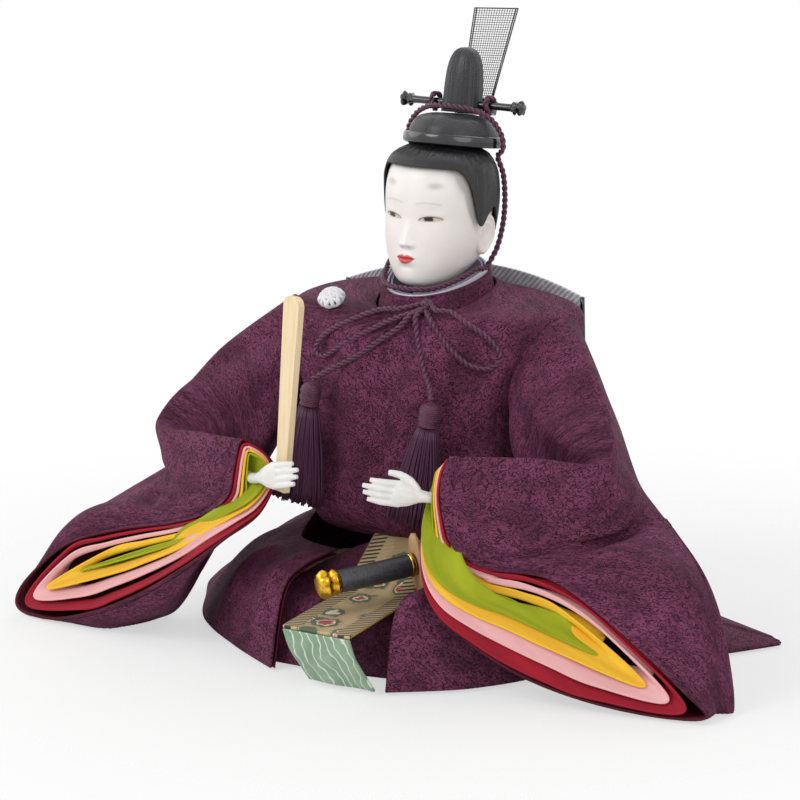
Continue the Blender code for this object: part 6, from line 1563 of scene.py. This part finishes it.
def brocadeMaterial():
    # Gold brocade: a tan twill ground, striped selvedges of black and gold, red and green flower motifs
    material, tree, shader = newMaterial("gold_silk_brocade", Roughness=0.45, Sheen_Weight=0.2, Specular_IOR_Level=0.6)
    across, along = clothAxes(tree)
    off = mathNode(tree, "ABSOLUTE", mathNode(tree, "SUBTRACT", across, 14.8 * mm))
    slant = mathNode(tree, "ADD", along, mathNode(tree, "MULTIPLY", across, 0.35))
    bars = stripes(tree, slant, 2.1 * mm)
    border = rampNode(tree, mathNode(tree, "MULTIPLY_ADD", bars, 0.5, 0.5),
                      [(0.42, colour("#14120f")), (0.58, colour("#cdb07a"))])
    place = clothPlace(tree)
    drift = noiseNode(tree, place, 260.0, output="Color")
    bent = addNode(tree, "ShaderNodeVectorMath", {0: drift, 1: (0.006, 0.006, 0.0), 2: place}, operation="MULTIPLY_ADD")
    cells = addNode(tree, "ShaderNodeTexVoronoi", {"Vector": bent.outputs[0], "Scale": 78.0, "Randomness": 0.55})
    petals = rampNode(tree, cells.outputs["Distance"],
                      [(0.10, colour("#e7cf93")), (0.16, colour("#b01f24")), (0.30, colour("#c8362f")),
                       (0.34, colour("#efe2c0")), (0.39, colour("#3c5a3a")), (0.46, colour("#4c6a48")),
                       (0.50, colour("#c2a473")), (0.60, colour("#d0b484"))])
    petals.node.color_ramp.interpolation = "CONSTANT"
    twill = stripes(tree, mathNode(tree, "ADD", along, across), 0.55 * mm)
    ground = mixNode(tree, mathNode(tree, "MULTIPLY_ADD", twill, 0.12, 0.12), petals, colour("#5c4a30"))
    inside = rampNode(tree, mathNode(tree, "MULTIPLY", off, 1 / (14.8 * mm)), [(0.56, 0.0), (0.59, 1.0)])
    tree.links.new(mixNode(tree, inside, ground, border), shader.inputs["Base Color"])
    height = mathNode(tree, "ADD", mathNode(tree, "MULTIPLY", twill, 0.4), mathNode(tree, "MULTIPLY", bars, 0.5))
    tree.links.new(bumpNode(tree, height, 0.12 * mm, 0.8), shader.inputs["Normal"])
    return material


def mintMaterial():
    # Pale green satin with wandering pale lines woven along it
    material, tree, shader = newMaterial("mint_silk_satin", Roughness=0.32, Anisotropic=0.4, Sheen_Weight=0.15)
    across, along = clothAxes(tree)
    drift = noiseNode(tree, clothPlace(tree), 70.0)
    lines = stripes(tree, mathNode(tree, "MULTIPLY_ADD", drift, 14 * mm, across), 4.2 * mm)
    fine = stripes(tree, across, 0.6 * mm)
    tone = noiseNode(tree, clothPlace(tree), 140.0)
    base = mixNode(tree, rampNode(tree, tone, [(0.3, 0.0), (0.7, 1.0)]), colour("#7f9c80"), colour("#9db79a"))
    pale = rampNode(tree, mathNode(tree, "MULTIPLY_ADD", lines, 0.5, 0.5), [(0.90, 0.0), (0.97, 1.0)])
    tree.links.new(mixNode(tree, pale, base, colour("#dce8d6")), shader.inputs["Base Color"])
    tree.links.new(bumpNode(tree, fine, 0.05 * mm, 0.6), shader.inputs["Normal"])
    return material


sashLineShares = ((0.0805, -0.475, 0.452), (0.0765, -0.59, 0.375), (0.0735, -0.72, 0.2965), (0.0725, -0.80, 0.284),
                    (0.050, -1.00, 0.266), (0.045, -1.19, 0.259))

flapLineShares = ((0.046, -1.195, 0.242), (0.056, -1.165, 0.160), (0.075, -1.120, 0.085), (0.095, -1.080, 0.018))

sash = {"half": 0.0148, "wall": 1.2 * mm, "skew": 0.10, "length": 0.100, "edge": 0.55 * mm}


def bandNet(shares, along, across):
    line = smoothPoints(np.array(shares) * sash["length"], along)
    offsets = np.linspace(-sash["half"], sash["half"], across)
    net = np.repeat(line[:, None, :], across, axis=1)
    net[:, :, 0] += offsets
    net[:, :, 1] -= offsets * sash["skew"]
    return net


def makeSash():
    net = bandNet(sashLineShares, 140, 48)
    strip = netPiece("sash_strip", net, False, flip=True, wall=sash["wall"])
    dress(strip, brocadeMaterial(), "doll", "sash_strip")
    # Gold cord that binds both edges of the strip
    bound = cordMaterial("gold_edge_cord", "#6b5226", "#d8b265")
    for number, column in enumerate((0, -1)):
        route = net[:, column] - (0, 0, sash["wall"] * 0.45)
        edge = twistedCord(f"sash_edge_{number + 1}", route[::5], sash["edge"], False, 2, 1.8)[0]
        dress(edge, bound, "doll")
    net = bandNet(flapLineShares, 70, 60)
    down, round = netShares(net)
    # The flap's loose end ripples: 0.7 mm times a sine across, growing toward the hem
    net[:, :, 1] += 0.7 * mm * np.sin(round * 9 + 1.2) * down * (1 - down * 0.3)
    flap = netPiece("sash_flap", net, False, flip=True, wall=sash["wall"] * 0.8)
    dress(flap, mintMaterial(), "doll", "sash_flap")


makeSash()
stage("sash")


def greyWeaveMaterial():
    # Pale grey figured silk: slanting ribs 2.2 mm apart
    material, tree, shader = newMaterial("pale_grey_ribbed_silk", Roughness=0.4, Sheen_Weight=0.2)
    across, along = clothAxes(tree)
    slant = mathNode(tree, "ADD", across, mathNode(tree, "MULTIPLY", along, 0.8))
    ribs = stripes(tree, slant, 2.2 * mm)
    tone = noiseNode(tree, clothPlace(tree), 300.0)
    lift = mathNode(tree, "MULTIPLY_ADD", ribs, 0.30, tone)
    tree.links.new(rampNode(tree, lift, [(0.25, colour("#9c9da4")), (0.8, colour("#d6d7dc"))]),
                   shader.inputs["Base Color"])
    tree.links.new(bumpNode(tree, lift, 0.3 * mm, 0.8), shader.inputs["Normal"])
    return material


train = {
    "half": 0.0530, "height": 0.0900, "top": 0.1440, "wall": 1.0 * mm, "drop": 0.11, "depth": 0.100,
    # Height down from the top, and depth behind the axis at the middle and at the end
    "rows": ((0.0, 0.270, 0.220), (0.30, 0.300, 0.24), (0.65, 0.325, 0.28), (1.0, 0.340, 0.31)),
}


def makeTrain():
    across = np.linspace(-1, 1, 140)[None, :]
    rows = smoothPoints(np.array(train["rows"]), 90)
    down, middle, end = rows[:, :1], rows[:, 1:2], rows[:, 2:3]
    y = train["depth"] * (middle + (end - middle) * across ** 2)
    z = train["top"] - train["height"] * (down + train["drop"] * across ** 2)
    net = np.stack([train["half"] * across * np.ones_like(down), y, z], axis=2)
    piece = netPiece("train_panel", net, False, wall=train["wall"])
    dress(piece, greyWeaveMaterial(), "doll", "train_panel")
    # Black lacquered slats that stiffen the panel's two ends
    for side, word in ((0, "right"), (-1, "left")):
        edge = net[:, side]
        slat = tubesPiece(f"train_slat_{word}", [edge[::6] - (0, 0.5 * mm, 0)], 0.95 * mm, 10)
        dress(slat, lacquer, "doll")


makeTrain()
stage("back panel")


def strawMaterial(name, main, deep, stretch):
    # Packed stalks or shavings: long fibres side by side
    material, tree, shader = newMaterial(name, Roughness=0.7)
    place = objectPlace(tree)
    long = addNode(tree, "ShaderNodeMapping", {"Vector": place, "Scale": stretch}).outputs[0]
    fibre = noiseNode(tree, long, 1.0, 4.0)
    tree.links.new(rampNode(tree, fibre, [(0.3, colour(deep)), (0.7, colour(main))]), shader.inputs["Base Color"])
    tree.links.new(bumpNode(tree, fibre, 0.6 * mm, 1.0), shader.inputs["Normal"])
    return material


inner = {
    "seat_board": woodMaterial("sawn_cedar", "#c89a68", "#9c6f42", (40.0, 600.0, 600.0)),
    "neck_peg": woodMaterial("turned_beech", "#d9b78a", "#bd9464", (900.0, 900.0, 60.0)),
    "straw_core": strawMaterial("rice_straw", "#d9bd72", "#96772f", (1400.0, 1400.0, 40.0)),
    "core_binding_1": cordMaterial("hemp_binding", "#8a744e", "#c7b083"),
    "arm_pad_left": strawMaterial("wood_wool", "#dcc79a", "#a4875a", (900.0, 200.0, 900.0)),
    "arm_wire": metalMaterial("annealed_iron_wire", "#6a6a6c", "#3a3a3c", 0.45),
}
for name, other in (("core_binding_2", "core_binding_1"), ("arm_pad_right", "arm_pad_left"),
                    ("leg_left", "arm_pad_left"), ("leg_right", "arm_pad_left")):
    inner[name] = inner[other]
for name, material in inner.items():
    bpy.data.objects[name].data.materials[0] = material
stage("inner parts")


# Floor, lights and background

studio = {
    "floorHalf": 1.6,
    "fadeStart": 0.12,
    "fadeEnd": 0.36,
    "paleShare": 0.58,
    "worldLight": 0.50,
    "lamps": (
        # place, width, watts
        ((-0.55, -1.05, 0.95), 0.8, 7.0),
        ((0.95, -0.75, 0.55), 0.9, 3.2),
        ((0.10, 0.80, 1.05), 0.8, 3.0),
        ((-1.05, -0.10, 0.60), 0.9, 2.4),
    ),
}


def makeFloor():
    # Matt white board under the doll. Away from the doll it clears, so the white background shows
    half = studio["floorHalf"]
    item = newMesh("floor", [(-half, -half, 0), (half, -half, 0), (half, half, 0), (-half, half, 0)], [(0, 1, 2, 3)],
                   smooth=False)
    material, tree, shader = newMaterial("matt_white_board", Roughness=0.9, Specular_IOR_Level=0.1)
    place = objectPlace(tree)
    grain = noiseNode(tree, place, 900.0)
    tree.links.new(rampNode(tree, grain, [(0.3, (0.90, 0.90, 0.90, 1.0)), (0.7, (0.93, 0.93, 0.93, 1.0))]),
                   shader.inputs["Base Color"])
    away = addNode(tree, "ShaderNodeVectorMath", {0: place}, operation="LENGTH").outputs["Value"]
    clear = addNode(tree, "ShaderNodeMapRange", {"Value": away, "From Min": studio["fadeStart"],
                                                 "From Max": studio["fadeEnd"], "To Min": studio["paleShare"]},
                    interpolation_type="SMOOTHSTEP")
    seen = addNode(tree, "ShaderNodeLightPath").outputs["Is Camera Ray"]
    share = mathNode(tree, "MULTIPLY", clear.outputs[0], seen)
    nothing = addNode(tree, "ShaderNodeBsdfTransparent")
    blend = addNode(tree, "ShaderNodeMixShader", {0: share, 1: shader.outputs[0], 2: nothing.outputs[0]})
    tree.links.new(blend.outputs[0], tree.nodes["Material Output"].inputs["Surface"])
    item.data.materials.append(material)


def makeLamps():
    for number, (place, width, watts) in enumerate(studio["lamps"]):
        data = bpy.data.lights.new(f"soft_lamp_{number + 1}", "AREA")
        data.shape = "DISK"
        data.size = width
        data.energy = watts
        item = bpy.data.objects.new(data.name, data)
        scene.collection.objects.link(item)
        item.location = place
        aim = Vector((0, -0.03, 0.09)) - Vector(place)
        item.rotation_euler = aim.to_track_quat("-Z", "Y").to_euler()


def makeWorld():
    # White for the camera, gloss and glass, and a soft even light for everything else
    world = bpy.data.worlds.new("soft_white_studio")
    world.use_nodes = True
    scene.world = world
    tree = world.node_tree
    path = addNode(tree, "ShaderNodeLightPath")
    first = mathNode(tree, "MAXIMUM", path.outputs["Is Camera Ray"], path.outputs["Is Glossy Ray"])
    shown = mathNode(tree, "MAXIMUM", first, path.outputs["Is Transmission Ray"])
    strength = addNode(tree, "ShaderNodeMapRange", {"Value": shown, "To Min": studio["worldLight"], "To Max": 1.0})
    back = tree.nodes["Background"]
    back.inputs["Color"].default_value = (1.0, 1.0, 1.0, 1.0)
    tree.links.new(strength.outputs[0], back.inputs["Strength"])


makeFloor()
makeLamps()
makeWorld()
scene.view_settings.view_transform = "Standard"
stage("floor and lights")
